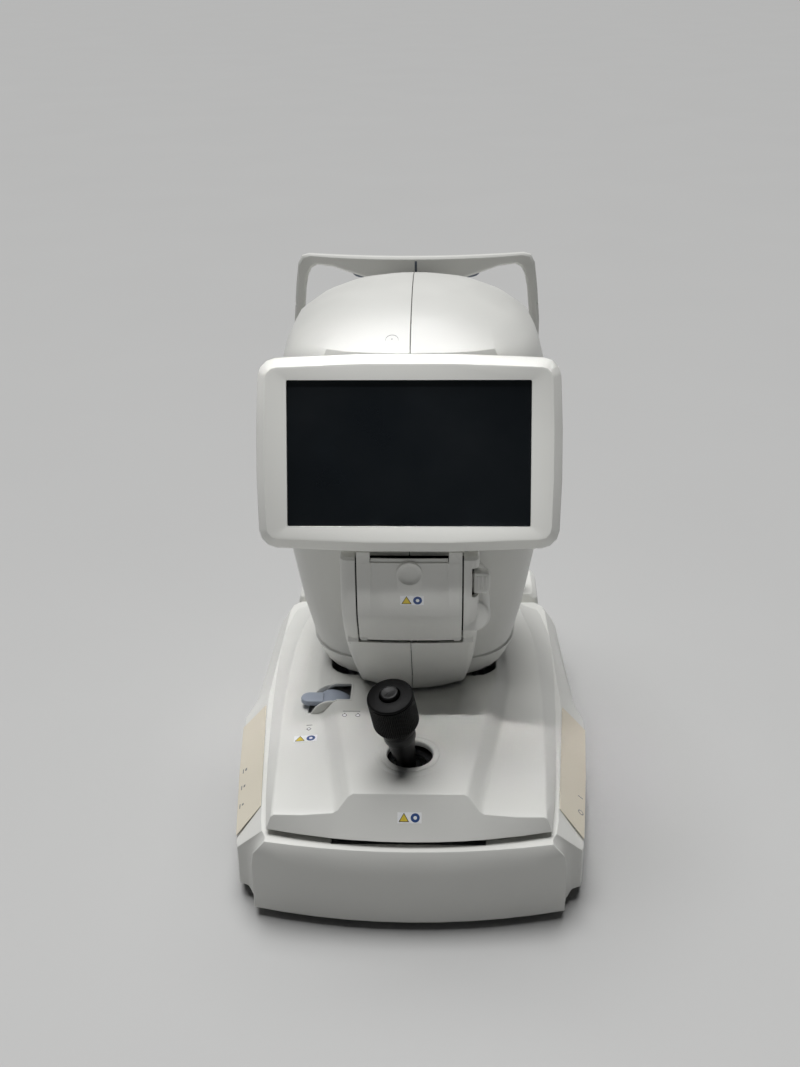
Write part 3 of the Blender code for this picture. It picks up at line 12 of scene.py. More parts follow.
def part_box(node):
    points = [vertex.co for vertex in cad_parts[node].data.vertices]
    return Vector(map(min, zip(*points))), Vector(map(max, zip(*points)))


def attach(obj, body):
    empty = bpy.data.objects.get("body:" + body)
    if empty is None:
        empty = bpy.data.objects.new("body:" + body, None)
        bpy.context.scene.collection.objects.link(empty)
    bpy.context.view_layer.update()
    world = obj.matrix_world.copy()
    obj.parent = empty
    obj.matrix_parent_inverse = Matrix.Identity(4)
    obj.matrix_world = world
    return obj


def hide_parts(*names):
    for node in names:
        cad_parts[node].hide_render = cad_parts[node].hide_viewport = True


MM = 0.001
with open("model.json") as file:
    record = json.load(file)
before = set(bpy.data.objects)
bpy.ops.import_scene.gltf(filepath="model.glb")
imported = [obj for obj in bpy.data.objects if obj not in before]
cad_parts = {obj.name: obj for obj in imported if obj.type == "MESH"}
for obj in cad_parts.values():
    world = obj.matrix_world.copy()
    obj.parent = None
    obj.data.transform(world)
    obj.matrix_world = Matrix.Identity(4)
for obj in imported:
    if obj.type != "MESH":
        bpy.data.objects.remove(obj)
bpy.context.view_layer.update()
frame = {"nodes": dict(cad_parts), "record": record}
record = frame["record"]
NODES = frame["nodes"]
BODY_OF = {node: body for body, nodes in record["behaviour"]["bodies"].items() for node in nodes}
SLOT_OF = {part["node"]: part["material_slot"] for part in record["subparts"]}
JOINTS = {joint["name"]: joint for joint in record["behaviour"]["joints"]}


# ---------------------------------------------------------------- node graphs


class Look:
    """A procedural material: a Principled shader and short calls that add nodes to it."""

    def __init__(self, name, color, rough, metal=0.0, specular=0.5):
        self.material = bpy.data.materials.new(name)
        self.material.use_nodes = True
        self.tree = self.material.node_tree
        self.shader = self.tree.nodes["Principled BSDF"]
        self.color = (*color, 1.0)
        self.shader.inputs["Base Color"].default_value = self.color
        self.shader.inputs["Roughness"].default_value = rough
        self.shader.inputs["Metallic"].default_value = metal
        self.shader.inputs["Specular IOR Level"].default_value = specular
        self.place = self.tree.nodes.new("ShaderNodeTexCoord").outputs["Object"]

    def node(self, kind, **values):
        made = self.tree.nodes.new(kind)
        for key, value in values.items():
            setattr(made, key, value)
        return made

    def feed(self, socket, value):
        if hasattr(value, "is_linked"):
            self.tree.links.new(value, socket)
        else:
            socket.default_value = value

    def stretched(self, scale):
        mapping = self.node("ShaderNodeMapping")
        self.feed(mapping.inputs["Vector"], self.place)
        mapping.inputs["Scale"].default_value = scale
        return mapping.outputs["Vector"]

    def noise(self, scale, detail=2.0, stretch=None):
        made = self.node("ShaderNodeTexNoise")
        self.feed(made.inputs["Vector"], self.stretched(stretch) if stretch else self.place)
        made.inputs["Scale"].default_value = scale
        made.inputs["Detail"].default_value = detail
        return made.outputs["Fac"]

    def cells(self, scale, feature="F1"):
        made = self.node("ShaderNodeTexVoronoi", feature=feature)
        self.feed(made.inputs["Vector"], self.place)
        made.inputs["Scale"].default_value = scale
        return made.outputs["Distance"]

    def span(self, value, low, high, to_low=0.0, to_high=1.0):
        made = self.node("ShaderNodeMapRange")
        for key, item in (("Value", value), ("From Min", low), ("From Max", high)):
            self.feed(made.inputs[key], item)
        made.inputs["To Min"].default_value = to_low
        made.inputs["To Max"].default_value = to_high
        return made.outputs["Result"]

    def math(self, operation, a, b=0.0):
        made = self.node("ShaderNodeMath", operation=operation)
        self.feed(made.inputs[0], a)
        self.feed(made.inputs[1], b)
        return made.outputs["Value"]

    def mix(self, share, a, b, blend="MIX"):
        made = self.node("ShaderNodeMix", data_type="RGBA", blend_type=blend)
        self.feed(made.inputs["Factor"], share)
        self.feed(made.inputs["A"], a)
        self.feed(made.inputs["B"], b)
        return made.outputs["Result"]

    def edges(self, low=0.52, high=0.62):
        """1 on the worn convex edges, 0 elsewhere."""
        made = self.node("ShaderNodeNewGeometry")
        return self.span(made.outputs["Pointiness"], low, high)

    def corners(self, reach=0.004):
        """Painted shade mask: 1 deep in a corner or gap, where ambient occlusion finds shade, 0 in
        the open.
        """
        made = self.node("ShaderNodeAmbientOcclusion", samples=4)
        made.inputs["Distance"].default_value = reach
        return self.span(made.outputs["AO"], 0.75, 0.25)

    def paint(self, value):
        self.feed(self.shader.inputs["Base Color"], value)

    def polish(self, value):
        self.feed(self.shader.inputs["Roughness"], value)

    def bump(self, height, strength, distance):
        made = self.node("ShaderNodeBump")
        made.inputs["Strength"].default_value = strength
        made.inputs["Distance"].default_value = distance
        self.feed(made.inputs["Height"], height)
        self.feed(self.shader.inputs["Normal"], made.outputs["Normal"])


def shade(color, factor):
    return (*(min(1.0, c * factor) for c in color[:3]), 1.0)


def moulded(name, color, rough, grain=900.0, depth=0.00004, wear=1.06, specular=0.5):
    """Moulded plastic: spark-eroded grain, colour drift, smudges, bright edges and painted shade in
    the corners.
    """
    look = Look(name, color, rough, specular=specular)
    drift = look.span(look.noise(9.0, 3.0), 0.3, 0.7)
    tone = look.mix(drift, shade(color, 0.975), shade(color, 1.015))
    speck = look.span(look.noise(2600.0, 1.0), 0.62, 0.75, 0.0, 0.10)
    tone = look.mix(speck, tone, shade(color, 0.80))
    tone = look.mix(look.math("MULTIPLY", look.edges(), 0.5), tone, shade(color, wear))
    # Painted shade: the colour darkens deep in corners and gaps, where ambient occlusion finds
    # shade.
    corner_shade = look.math("MULTIPLY", look.corners(), 0.28)
    look.paint(look.mix(corner_shade, tone, shade(color, 0.55)))
    smudge = look.span(look.noise(26.0, 4.0), 0.45, 0.75, rough - 0.03, rough + 0.07)
    look.polish(look.math("SUBTRACT", smudge, look.math("MULTIPLY", look.edges(), 0.12)))
    pits = look.math("ADD", look.cells(grain, "SMOOTH_F1"), look.noise(grain * 1.9, 2.0))
    look.bump(pits, 0.35, depth)
    return look.material


def metal(name, color, rough, stretch=(1.0, 1.0, 14.0), scale=160.0):
    """Ground metal: long fine scratches, patchy roughness and bright edges."""
    look = Look(name, color, rough, metal=1.0)
    lines = look.noise(scale, 4.0, stretch)
    tone = look.mix(look.span(lines, 0.35, 0.65), shade(color, 0.86), shade(color, 1.08))
    tone = look.mix(look.math("MULTIPLY", look.edges(), 0.6), tone, shade(color, 1.35))
    # Painted shade: the colour darkens deep in corners and gaps, where ambient occlusion finds
    # shade.
    look.paint(look.mix(look.math("MULTIPLY", look.corners(), 0.4), tone, shade(color, 0.4)))
    look.polish(look.span(look.noise(34.0, 5.0), 0.3, 0.7, rough - 0.07, rough + 0.10))
    look.bump(lines, 0.25, 0.00003)
    return look.material


def cast(name, color, rough):
    """Cast or powder-coated metal: orange-peel lumps over pits, and painted shade darkening the
    hollows.
    """
    look = Look(name, color, rough, metal=0.85)
    patches = look.span(look.noise(14.0, 4.0), 0.3, 0.7)
    tone = look.mix(patches, shade(color, 0.9), shade(color, 1.05))
    # Painted shade: the colour darkens deep in corners and gaps, where ambient occlusion finds
    # shade.
    look.paint(look.mix(look.math("MULTIPLY", look.corners(), 0.45), tone, shade(color, 0.45)))
    look.polish(look.span(look.noise(60.0, 3.0), 0.3, 0.7, rough - 0.05, rough + 0.12))
    look.bump(look.math("ADD", look.cells(420.0), look.noise(180.0, 3.0)), 0.4, 0.00012)
    return look.material


def soft_rubber(name, color, rough):
    """Rubber or silicone: fine matt pores, a patchy pale bloom, and painted shade in the corners.
    """
    look = Look(name, color, rough, specular=0.35)
    bloom = look.span(look.noise(22.0, 5.0), 0.4, 0.75, 0.0, 0.35)
    tone = look.mix(bloom, shade(color, 1.0), shade(color, 1.25))
    # Painted shade: the colour darkens deep in corners and gaps, where ambient occlusion finds
    # shade.
    look.paint(look.mix(look.math("MULTIPLY", look.corners(), 0.3), tone, shade(color, 0.6)))
    look.polish(look.span(look.noise(70.0, 3.0), 0.3, 0.7, rough - 0.06, rough + 0.08))
    look.bump(look.cells(1500.0), 0.4, 0.00005)
    return look.material


def dark_glass(name, color, rough):
    """The matt-coated panel over the display: near black, frosted, with faint finger marks."""
    look = Look(name, color, rough, specular=0.5)
    marks = look.span(look.noise(30.0, 4.0), 0.55, 0.8, 0.0, 0.5)
    look.paint(look.mix(marks, shade(color, 1.0), shade(color, 1.5)))
    look.polish(look.span(look.noise(18.0, 5.0), 0.35, 0.7, rough - 0.03, rough + 0.06))
    look.bump(look.noise(3000.0, 1.0), 0.15, 0.00001)
    return look.material


def lens_glass(name, color, rough):
    """A coated lens: dark and glossy, with the coating's violet reflection painted into its colour
    towards its edge.
    """
    look = Look(name, color, rough, specular=0.9)
    # Painted reflection: the coating's violet reflection is painted into the colour where the lens
    # is seen at a grazing angle.
    rim = look.node("ShaderNodeLayerWeight")
    rim.inputs["Blend"].default_value = 0.35
    look.paint(look.mix(rim.outputs["Facing"], shade(color, 1.0), (0.16, 0.08, 0.24, 1.0)))
    look.polish(look.span(look.noise(50.0, 3.0), 0.4, 0.8, rough, rough + 0.05))
    look.bump(look.noise(900.0, 1.0), 0.05, 0.00001)
    look.shader.inputs["Coat Weight"].default_value = 1.0
    look.shader.inputs["Coat Roughness"].default_value = 0.03
    return look.material


def board_look(name, color, rough):
    """A circuit board: solder mask over copper tracks, with bare pads."""
    look = Look(name, color, rough)
    tracks = look.span(look.cells(260.0, "DISTANCE_TO_EDGE"), 0.02, 0.05)
    tone = look.mix(tracks, shade(color, 1.7), shade(color, 0.9))
    pads = look.span(look.cells(700.0), 0.16, 0.12)
    look.paint(look.mix(look.math("MULTIPLY", pads, 0.6), tone, (0.62, 0.55, 0.35, 1.0)))
    look.polish(look.span(look.noise(90.0, 2.0), 0.3, 0.7, rough - 0.05, rough + 0.1))
    look.bump(tracks, 0.3, 0.00004)
    return look.material


def paper_look(name, color, rough):
    """Wound thermal paper: pale, matt and fibrous."""
    look = Look(name, color, rough, specular=0.25)
    fibres = look.noise(700.0, 5.0)
    tone = look.mix(look.span(fibres, 0.35, 0.65), shade(color, 0.93), shade(color, 1.02))
    # Painted shade: the colour darkens deep in corners and gaps, where ambient occlusion finds
    # shade.
    look.paint(look.mix(look.math("MULTIPLY", look.corners(0.003), 0.4), tone, shade(color, 0.6)))
    look.polish(look.span(fibres, 0.3, 0.7, rough - 0.04, rough + 0.04))
    look.bump(fibres, 0.3, 0.00004)
    return look.material


SHELL = (0.800, 0.800, 0.765)
IVORY = (0.760, 0.705, 0.585)
BLACK = (0.0075, 0.0075, 0.008)
LOOKS = {
    "shell_white": moulded("shell_white", SHELL, 0.40),
    "ivory_strip": moulded("ivory_strip", IVORY, 0.46, grain=1100.0),
    "black_plastic": moulded("black_plastic", BLACK, 0.36, wear=1.7, specular=0.26),
    "black_knurl": moulded("black_knurl", (0.0028, 0.0028, 0.0030), 0.46, wear=1.8, specular=0.10),
    "blue_grey_plastic": moulded("blue_grey_plastic", (0.400, 0.445, 0.530), 0.38),
    "screen_glass": dark_glass("screen_glass", (0.004, 0.006, 0.008), 0.30),
    "ground_steel": metal("ground_steel", (0.60, 0.60, 0.61), 0.26),
    "cast_alloy": cast("cast_alloy", (0.58, 0.59, 0.60), 0.48),
    "circuit_board": board_look("circuit_board", (0.012, 0.115, 0.045), 0.40),
    "thermal_paper": paper_look("thermal_paper", (0.83, 0.83, 0.80), 0.62),
    "foot_rubber": soft_rubber("foot_rubber", (0.018, 0.018, 0.018), 0.75),
    "silicone_pad": soft_rubber("silicone_pad", (0.17, 0.195, 0.245), 0.55),
    "coated_lens": lens_glass("coated_lens", (0.008, 0.010, 0.020), 0.05),
    "dark_steel": cast("dark_steel", (0.030, 0.030, 0.032), 0.52),
}


# ---------------------------------------------------------------- meshes


def spot(x, d, z):
    """A point in metres from millimetres, with d measured back from the base's front."""
    return Vector((x, d - 260.0, z)) * MM


def new_object(name, mesh, slot, body):
    made = bpy.data.objects.new(name, mesh)
    bpy.context.scene.collection.objects.link(made)
    mesh.materials.clear()
    mesh.materials.append(LOOKS[slot])
    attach(made, body)
    return made


def crisp(node, sharp=30.0):
    """The CAD node's own shape, smooth except across its edges."""
    bm = bmesh.new()
    bm.from_mesh(NODES[node].data)
    made = new_object(f"{node}_piece", settle(node, bm, sharp), SLOT_OF[node], BODY_OF[node])
    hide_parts(node)
    return made


def rounded(node, width=0.5, merge=0.25, angle=32.0, steps=2):
    """The CAD node's own shape with its edges rounded and its curves shaded smooth."""
    mesh = NODES[node].data.copy()
    bm = bmesh.new()
    bm.from_mesh(mesh)
    bmesh.ops.remove_doubles(bm, verts=bm.verts, dist=merge * MM)
    bmesh.ops.dissolve_degenerate(bm, edges=bm.edges, dist=0.02 * MM)
    bmesh.ops.dissolve_limit(bm, angle_limit=math.radians(0.8), verts=bm.verts, edges=bm.edges)
    bm.to_mesh(mesh)
    bm.free()
    mesh.shade_smooth()
    made = new_object(f"{node}_piece", mesh, SLOT_OF[node], BODY_OF[node])
    edge = made.modifiers.new("edges", "BEVEL")
    edge.limit_method = "ANGLE"
    edge.angle_limit = math.radians(angle)
    edge.width = width * MM
    edge.segments = steps
    edge.use_clamp_overlap = False
    edge.miter_outer = "MITER_ARC"
    normals = made.modifiers.new("normals", "WEIGHTED_NORMAL")
    normals.keep_sharp = True
    normals.weight = 60
    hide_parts(node)
    return made


def skin(bm, rings, closed=False):
    """Joins rings of points with quads. closed joins the last ring to the first; otherwise
    both ends are capped."""
    made = [[bm.verts.new(point) for point in ring] for ring in rings]
    pairs = list(zip(made, made[1:])) + ([(made[-1], made[0])] if closed else [])
    count = len(made[0])
    for low, high in pairs:
        for i in range(count):
            j = (i + 1) % count
            bm.faces.new((low[i], low[j], high[j], high[i]))
    if not closed:
        bm.faces.new(list(reversed(made[0])))
        bm.faces.new(made[-1])


def settle(name, bm, sharp=40.0):
    """A mesh with outward normals, smooth except across edges sharper than the angle."""
    bmesh.ops.remove_doubles(bm, verts=bm.verts, dist=0.001 * MM)
    bmesh.ops.recalc_face_normals(bm, faces=bm.faces)
    for edge in bm.edges:
        if len(edge.link_faces) == 2 and edge.calc_face_angle(0.0) > math.radians(sharp):
            edge.smooth = False
    for face in bm.faces:
        face.smooth = True
    mesh = bpy.data.meshes.new(name)
    bm.to_mesh(mesh)
    bm.free()
    return mesh


def turned_rings(profile, centre, axis, steps, flutes=0):
    """Rings of a profile of (radius, height, flute depth) revolved about an axis."""
    turn = Vector((0, 0, 1)).rotation_difference(axis).to_matrix()
    rings = []
    for radius, height, depth in profile:
        ring = []
        for i in range(steps):
            a = 2 * math.pi * i / steps
            dip = depth * (0.5 - 0.5 * math.cos(flutes * a)) if depth else 0.0
            r = max(0.0005, radius - dip)
            ring.append(centre + turn @ (Vector((r * math.cos(a), r * math.sin(a), height)) * MM))
        rings.append(ring)
    return rings


# ---------------------------------------------------------------- joystick


PIVOT = Vector(JOINTS["joystick_fore_aft"]["pos_m"])
AXIS = Vector(JOINTS["height_ring_turn"]["axis"])
FLUTES = 72


def make_joystick():
    """The stick with its fluted height ring, its button and the dirt-shield disc it moves with."""
    ring = [
        (8.2, 94.6, 0), (8.2, 101.4, 0), (8.5, 101.9, 0), (9.1, 102.0, 0), (13.0, 101.5, 0),
        (17.0, 100.9, 0), (17.9, 100.7, 0), (18.35, 100.3, 0), (18.5, 99.7, 0), (18.5, 99.1, 0),
        (18.05, 98.8, 0), (18.0, 98.4, 0),
        (18.7, 98.1, 0.0), (18.7, 97.5, 0.8), (18.7, 71.6, 0.8), (18.5, 70.6, 0.4), (17.9, 69.6, 0),
        (14.2, 62.0, 0), (13.6, 61.2, 0), (6.4, 61.0, 0), (6.4, 94.6, 0),
    ]
    bm = bmesh.new()
    skin(bm, turned_rings(ring, PIVOT, AXIS, 8 * FLUTES, FLUTES), closed=True)
    piece = new_object("height_ring_piece", settle("height_ring", bm, 50), "black_knurl", "ring")
    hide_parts("height_ring")

    stick = [
        (0.01, -6.6), (2.4, -6.1), (4.6, -4.7), (6.0, -2.6), (6.6, 0.0), (5.9, 3.0), (4.9, 5.2),
        (4.8, 7.0), (5.0, 11.0), (5.2, 13.0), (6.6, 15.2), (8.0, 17.5), (8.15, 20.0), (8.6, 26.0),
        (10.0, 37.0), (11.6, 49.0), (12.25, 51.6), (12.9, 52.0), (13.1, 52.6), (13.4, 59.6),
        (13.1, 60.3), (12.4, 60.5), (6.2, 60.6), (6.2, 93.5), (0.01, 93.5),
    ]
    arc = [math.radians(16.5 + 33.5 * k / 12) for k in range(13)]
    cap = [(16.0 * math.sin(a), 16.0 * math.cos(a)) for a in arc]
    cap += [(14.7 * math.sin(a), 14.7 * math.cos(a)) for a in reversed(arc)]
    bm = bmesh.new()
    skin(bm, turned_rings([(r, h, 0) for r, h in stick], PIVOT, AXIS, 72))
    skin(bm, turned_rings([(r, h, 0) for r, h in cap], PIVOT, AXIS, 72), closed=True)
    across = Vector((0, 1, 0)).cross(AXIS).normalized()
    pin = turned_rings([(1.6, -11.6, 0), (1.6, 11.6, 0)], PIVOT, across, 20)
    skin(bm, pin)
    piece = new_object("joystick_grip_piece", settle("grip", bm, 35), "black_plastic", "joystick")
    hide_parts("joystick_grip")

    top = [(0.01, 96.0), (5.6, 96.0), (5.6, 98.2), (6.8, 98.6), (7.0, 99.0), (7.0, 104.0)]
    top += [(6.8, 104.6), (6.3, 104.9), (5.4, 104.9), (3.2, 104.55), (0.01, 104.4)]
    bm = bmesh.new()
    skin(bm, turned_rings([(r, h, 0) for r, h in top], PIVOT, AXIS, 64))
    piece = new_object("measure_button_piece", settle("button", bm, 50), "black_plastic", "button")
    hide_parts("measure_button")


# ---------------------------------------------------------------- soft pad


def make_forehead_pad():
    """The silicone forehead strip: a crowned pad with pinched ends and a channel along it."""
    low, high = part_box("forehead_pad")
    middle = (low + high) / 2
    half = (high - low) / 2
    bm = bmesh.new()
    rings = []
    stations = 48
    for k in range(stations + 1):
        s = -1 + 2 * k / stations
        end = max(0.0, 1 - abs(s) ** 5.0)
        tall = half.z * (0.45 + 0.55 * end ** 0.5)
        deep = half.y * 2 * (0.30 + 0.66 * end ** 0.6)
        ring = []
        for i in range(36):
            a = 2 * math.pi * i / 36
            c, t = math.cos(a), math.sin(a)
            up = math.copysign(abs(t) ** 0.75, t) * tall
            out = (0.5 + 0.5 * math.copysign(abs(c) ** 0.9, c)) * deep
            channel = 0.0006 * math.exp(-((up / 0.0012) ** 2)) if c > 0 else 0.0
            back = low.y + 0.0004
            x = middle.x + s * half.x * 0.985
            ring.append(Vector((x, back + out - channel, middle.z + up)))
        rings.append(ring)
    skin(bm, rings)
    pad = new_object("forehead_pad_piece", settle("pad", bm, 80), SLOT_OF["forehead_pad"], "base")
    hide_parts("forehead_pad")


# ---------------------------------------------------------------- prints and labels


class Surface:
    """A CAD node's skin that flat prints are laid on."""

    def __init__(self, node, out, up):
        mesh = NODES[node].data
        mesh.calc_loop_triangles()
        corners = [v.co.copy() for v in mesh.vertices]
        self.tree = BVHTree.FromPolygons(corners, [tuple(t.vertices) for t in mesh.loop_triangles])
        self.node = node
        self.out = Vector(out).normalized()
        self.across = Vector(up).cross(self.out).normalized()
        self.up = self.out.cross(self.across)

    def land(self, centre, u, v, lift):
        start = centre + (self.across * u + self.up * v) * MM
        place = self.tree.ray_cast(start + self.out * 0.03, -self.out, 0.06)[0]
        return (place if place is not None else start) + self.out * (lift * MM)

    def lay(self, name, centre, outline, look, lift):
        """A thin print with a closed outline of (across, up) points about its centre."""
        u0 = sum(p[0] for p in outline) / len(outline)
        v0 = sum(p[1] for p in outline) / len(outline)
        bm = bmesh.new()
        rings = []
        for share in (1.0, 0.75, 0.5, 0.25):
            points = [(u0 + (u - u0) * share, v0 + (v - v0) * share) for u, v in outline]
            rings.append([bm.verts.new(self.land(centre, u, v, lift)) for u, v in points])
        foot = [bm.verts.new(vert.co - self.out * ((lift + 0.1) * MM)) for vert in rings[0]]
        rings.insert(0, foot)
        core = bm.verts.new(self.land(centre, u0, v0, lift))
        count = len(outline)
        for low, high in zip(rings, rings[1:]):
            for i in range(count):
                j = (i + 1) % count
                bm.faces.new((low[i], low[j], high[j], high[i]))
        for i in range(count):
            bm.faces.new((rings[-1][i], rings[-1][(i + 1) % count], core))
        mesh = settle(name, bm, 50)
        mesh.materials.append(look)
        piece = bpy.data.objects.new(name, mesh)
        bpy.context.scene.collection.objects.link(piece)
        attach(piece, BODY_OF[self.node])
        return piece


def polygon(radius, count, start=90.0, du=0.0, dv=0.0, per_side=1):
    corners = []
    for k in range(count):
        a, b = (math.radians(start + 360.0 * n / count) for n in (k, k + 1))
        for i in range(per_side):
            t = i / per_side
            corners.append(
                (
                    du + radius * ((1 - t) * math.cos(a) + t * math.cos(b)),
                    dv + radius * ((1 - t) * math.sin(a) + t * math.sin(b)),
                )
            )
    return corners


def plate(width, height, du=0.0, dv=0.0, per_side=8):
    """A rectangle's outline with points along its sides."""
    w, h = width / 2, height / 2
    ends = [(-w, -h), (w, -h), (w, h), (-w, h), (-w, -h)]
    points = []
    for (u0, v0), (u1, v1) in zip(ends, ends[1:]):
        for i in range(per_side):
            t = i / per_side
            points.append((du + u0 + (u1 - u0) * t, dv + v0 + (v1 - v0) * t))
    return points


def caution_label(name, skin_of, centre, width=20.0):
    """A white label with a plain yellow triangle and a plain blue disc."""
    tall = width * 0.45
    skin_of.lay(f"{name}_paper", centre, plate(width, tall), PRINTS["label_white"], 0.10)
    size = tall * 0.56
    u = width * 0.235
    drop = -tall * 0.10
    edge, inner = (polygon(size * share, 3, 90, -u, drop, 6) for share in (1.0, 0.80))
    skin_of.lay(f"{name}_edge", centre, edge, PRINTS["ink"], 0.14)
    skin_of.lay(f"{name}_yellow", centre, inner, PRINTS["yellow"], 0.18)
    skin_of.lay(f"{name}_blue", centre, polygon(tall * 0.42, 24, 90, u, 0.0), PRINTS["blue"], 0.14)
    dot = polygon(tall * 0.17, 16, 90, u, 0.0)
    skin_of.lay(f"{name}_dot", centre, dot, PRINTS["label_white"], 0.18)


def print_look(name, color, rough):
    """Printed vinyl: slightly uneven ink with a fine gloss ripple."""
    look = Look(name, color, rough)
    patches = look.span(look.noise(400.0, 3.0), 0.3, 0.7)
    look.paint(look.mix(patches, shade(color, 0.92), shade(color, 1.04)))
    look.polish(look.span(look.noise(120.0, 2.0), 0.3, 0.7, rough - 0.05, rough + 0.06))
    look.bump(look.noise(1400.0, 2.0), 0.15, 0.00002)
    return look.material


PRINTS = {
    "label_white": print_look("label_white", (0.97, 0.98, 1.00), 0.35),
    "silver": print_look("label_silver", (0.55, 0.56, 0.56), 0.30),
    "yellow": print_look("label_yellow", (0.78, 0.60, 0.07), 0.35),
    "blue": print_look("label_blue", (0.035, 0.085, 0.26), 0.35),
    "ink": print_look("label_ink", (0.025, 0.025, 0.03), 0.40),
    # Grey ink for the printed marks; the same grey is also the painted shadow in the dome plug's
    # recess.
    "grey_ink_and_painted_shadow": print_look("grey_ink_and_painted_shadow", (0.20, 0.20, 0.195), 0.50),
}


INK_LIFT = 0.06
EYE_LIFT = 0.09


def make_prints():
    """The caution labels, the plug in the dome and the marks on the stage and the strips."""
    grey, white = PRINTS["grey_ink_and_painted_shadow"], PRINTS["label_white"]
    stage_top = Surface("stage_cover", (0, 0, 1), (0, 1, 0))
    caution_label("valley_label", stage_top, spot(-91.4, 131.8, 95))
    for k, u in enumerate((-5.8, 5.8)):
        mark = spot(-52.4 + u, 146.0, 108)
        stage_top.lay(f"lock_mark_{k}", mark, polygon(2.1, 20), grey, INK_LIFT)
        stage_top.lay(f"lock_mark_{k}_eye", mark, polygon(1.5, 20), white, EYE_LIFT)
        stage_top.lay(f"lock_mark_{k}_bow", mark, plate(1.0, 1.3, 0.0, 2.6, 2), grey, INK_LIFT)
    stage_top.lay("lock_bar", spot(-52.4, 152.2, 108), plate(15.0, 0.7), grey, INK_LIFT)
    mark = spot(-89.8, 146.0, 95)
    stage_top.lay("lever_mark", mark, polygon(2.4, 4, 90, per_side=3), grey, INK_LIFT)
    stage_top.lay("lever_mark_eye", mark, polygon(1.4, 4, 90, per_side=3), white, EYE_LIFT)
    stage_top.lay("lever_bar", spot(-89.8, 151.6, 95), plate(5.0, 0.7), grey, INK_LIFT)

    face = Surface("stage_cover", (0, -0.72, 0.69), (0, 0.69, 0.72))
    caution_label("stage_label", face, spot(1.0, 26.0, 91.0), 19.0)
    dome = Surface("head_shell_left", (0, -0.45, 0.89), (0, 0.89, 0.45))
    plug = spot(-15.0, 213.0, 425.2)
    # Painted shadow: a grey disc under the plug; the plug disc, set 0.5 mm lower, leaves it showing
    # as a dark crescent along the top, where the recess lies in shade.
    dome.lay("plug_painted_shadow", plug, polygon(5.3, 36), grey, 0.02)
    dome.lay("plug", plug, polygon(5.15, 36, dv=-0.5), LOOKS["shell_white"], 0.10)
    dome.lay("plug_dot", plug, polygon(0.55, 12, dv=0.6), grey, 0.14)
    door = Surface("printer_door", (0, -1, 0), (0, 0, 1))
    caution_label("door_label", door, spot(2.0, 118.0, 235.0), 19.0)

    for side, marks in ((-1, (0.50, 0.64, 0.79)), (1, (0.70, 0.82))):
        node = "label_strip_left" if side < 0 else "label_strip_right"
        low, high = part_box(node)
        strip = Surface(node, (side, 0, 0.35), (0, 0, 1))
        for k, share in enumerate(marks):
            x = high.x if side > 0 else low.x
            place = Vector((x, high.y + (low.y - high.y) * share, (low.z + high.z) / 2))
            if side < 0:
                strip.lay(f"strip_bar_{k}", place, plate(5.6, 0.9, 0, -1.8), grey, INK_LIFT)
                block = plate(3.4 - 0.5 * k, 1.8, 0, 1.2)
                strip.lay(f"strip_block_{k}", place, block, grey, INK_LIFT)
            elif k == 0:
                strip.lay("strip_on", place, plate(0.9, 5.0), grey, INK_LIFT)
            else:
                strip.lay("strip_off", place, polygon(2.7, 24), grey, INK_LIFT)
                strip.lay("strip_off_eye", place, polygon(1.9, 24), LOOKS["ivory_strip"], EYE_LIFT)


# ---------------------------------------------------------------- small mouldings


LOCK_X, LOCK_D, LOCK_Z = -71.0, 184.0, 85.5


def make_lock_lever():
    """The stage lock: part of a drum with a thumb saddle and a flat paddle with a round tip."""
    low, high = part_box("lock_lever")
    reach = (spot(LOCK_X, LOCK_D, LOCK_Z).x - low.x) / MM
    top = high.z / MM - LOCK_Z
    bm = bmesh.new()
    rings = []
    for k in range(61):
        share = k / 60
        a = math.radians(-3.0 + 193.0 * share)
        along = min(1.0, max(0.0, (share - 0.12) / 0.52))
        radius = top - 0.1 - 1.3 * math.sin(math.pi * along) ** 2
        section = [(3.8, -11.0), (radius - 0.8, -11.0), (radius - 0.2, -10.7), (radius, -10.1)]
        section += [(r, -d) for r, d in reversed(section)]
        c, t = math.cos(a), math.sin(a)
        rings.append([spot(LOCK_X + r * c, LOCK_D + d, LOCK_Z + r * t) for r, d in section])
    skin(bm, rings)
    half = 7.8
    tip = half - reach
    arc = [math.pi * (0.5 + i / 28) for i in range(29)]
    outline = [(-9.0, -half), (-9.0, half)]
    outline += [(tip + half * math.cos(a), half * math.sin(a)) for a in arc]
    rings = []
    levels = [(10.3, 1.6), (10.6, 0.7), (11.4, 0.0), (14.6, 0.0), (15.4, 0.4), (15.8, 1.3)]
    levels += [(15.5, 2.6)]
    for rise, inset in levels:
        share = 1.0 - inset / half
        ring = []
        for x, d in outline:
            across = (x - tip) * (share if x < tip else 1.0)
            ring.append(spot(LOCK_X + tip + across, LOCK_D + d * share, LOCK_Z + rise))
        rings.append(ring)
    skin(bm, rings)
    mesh = settle("lock_lever", bm, 40)
    piece = new_object("lock_lever_piece", mesh, SLOT_OF["lock_lever"], BODY_OF["lock_lever"])
    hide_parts("lock_lever")


RIM = [(-0.9, -9.0), (-0.9, -1.2), (-0.5, -0.3), (0.2, 0.0), (1.0, -0.2), (1.5, -0.9), (1.7, -9.0)]


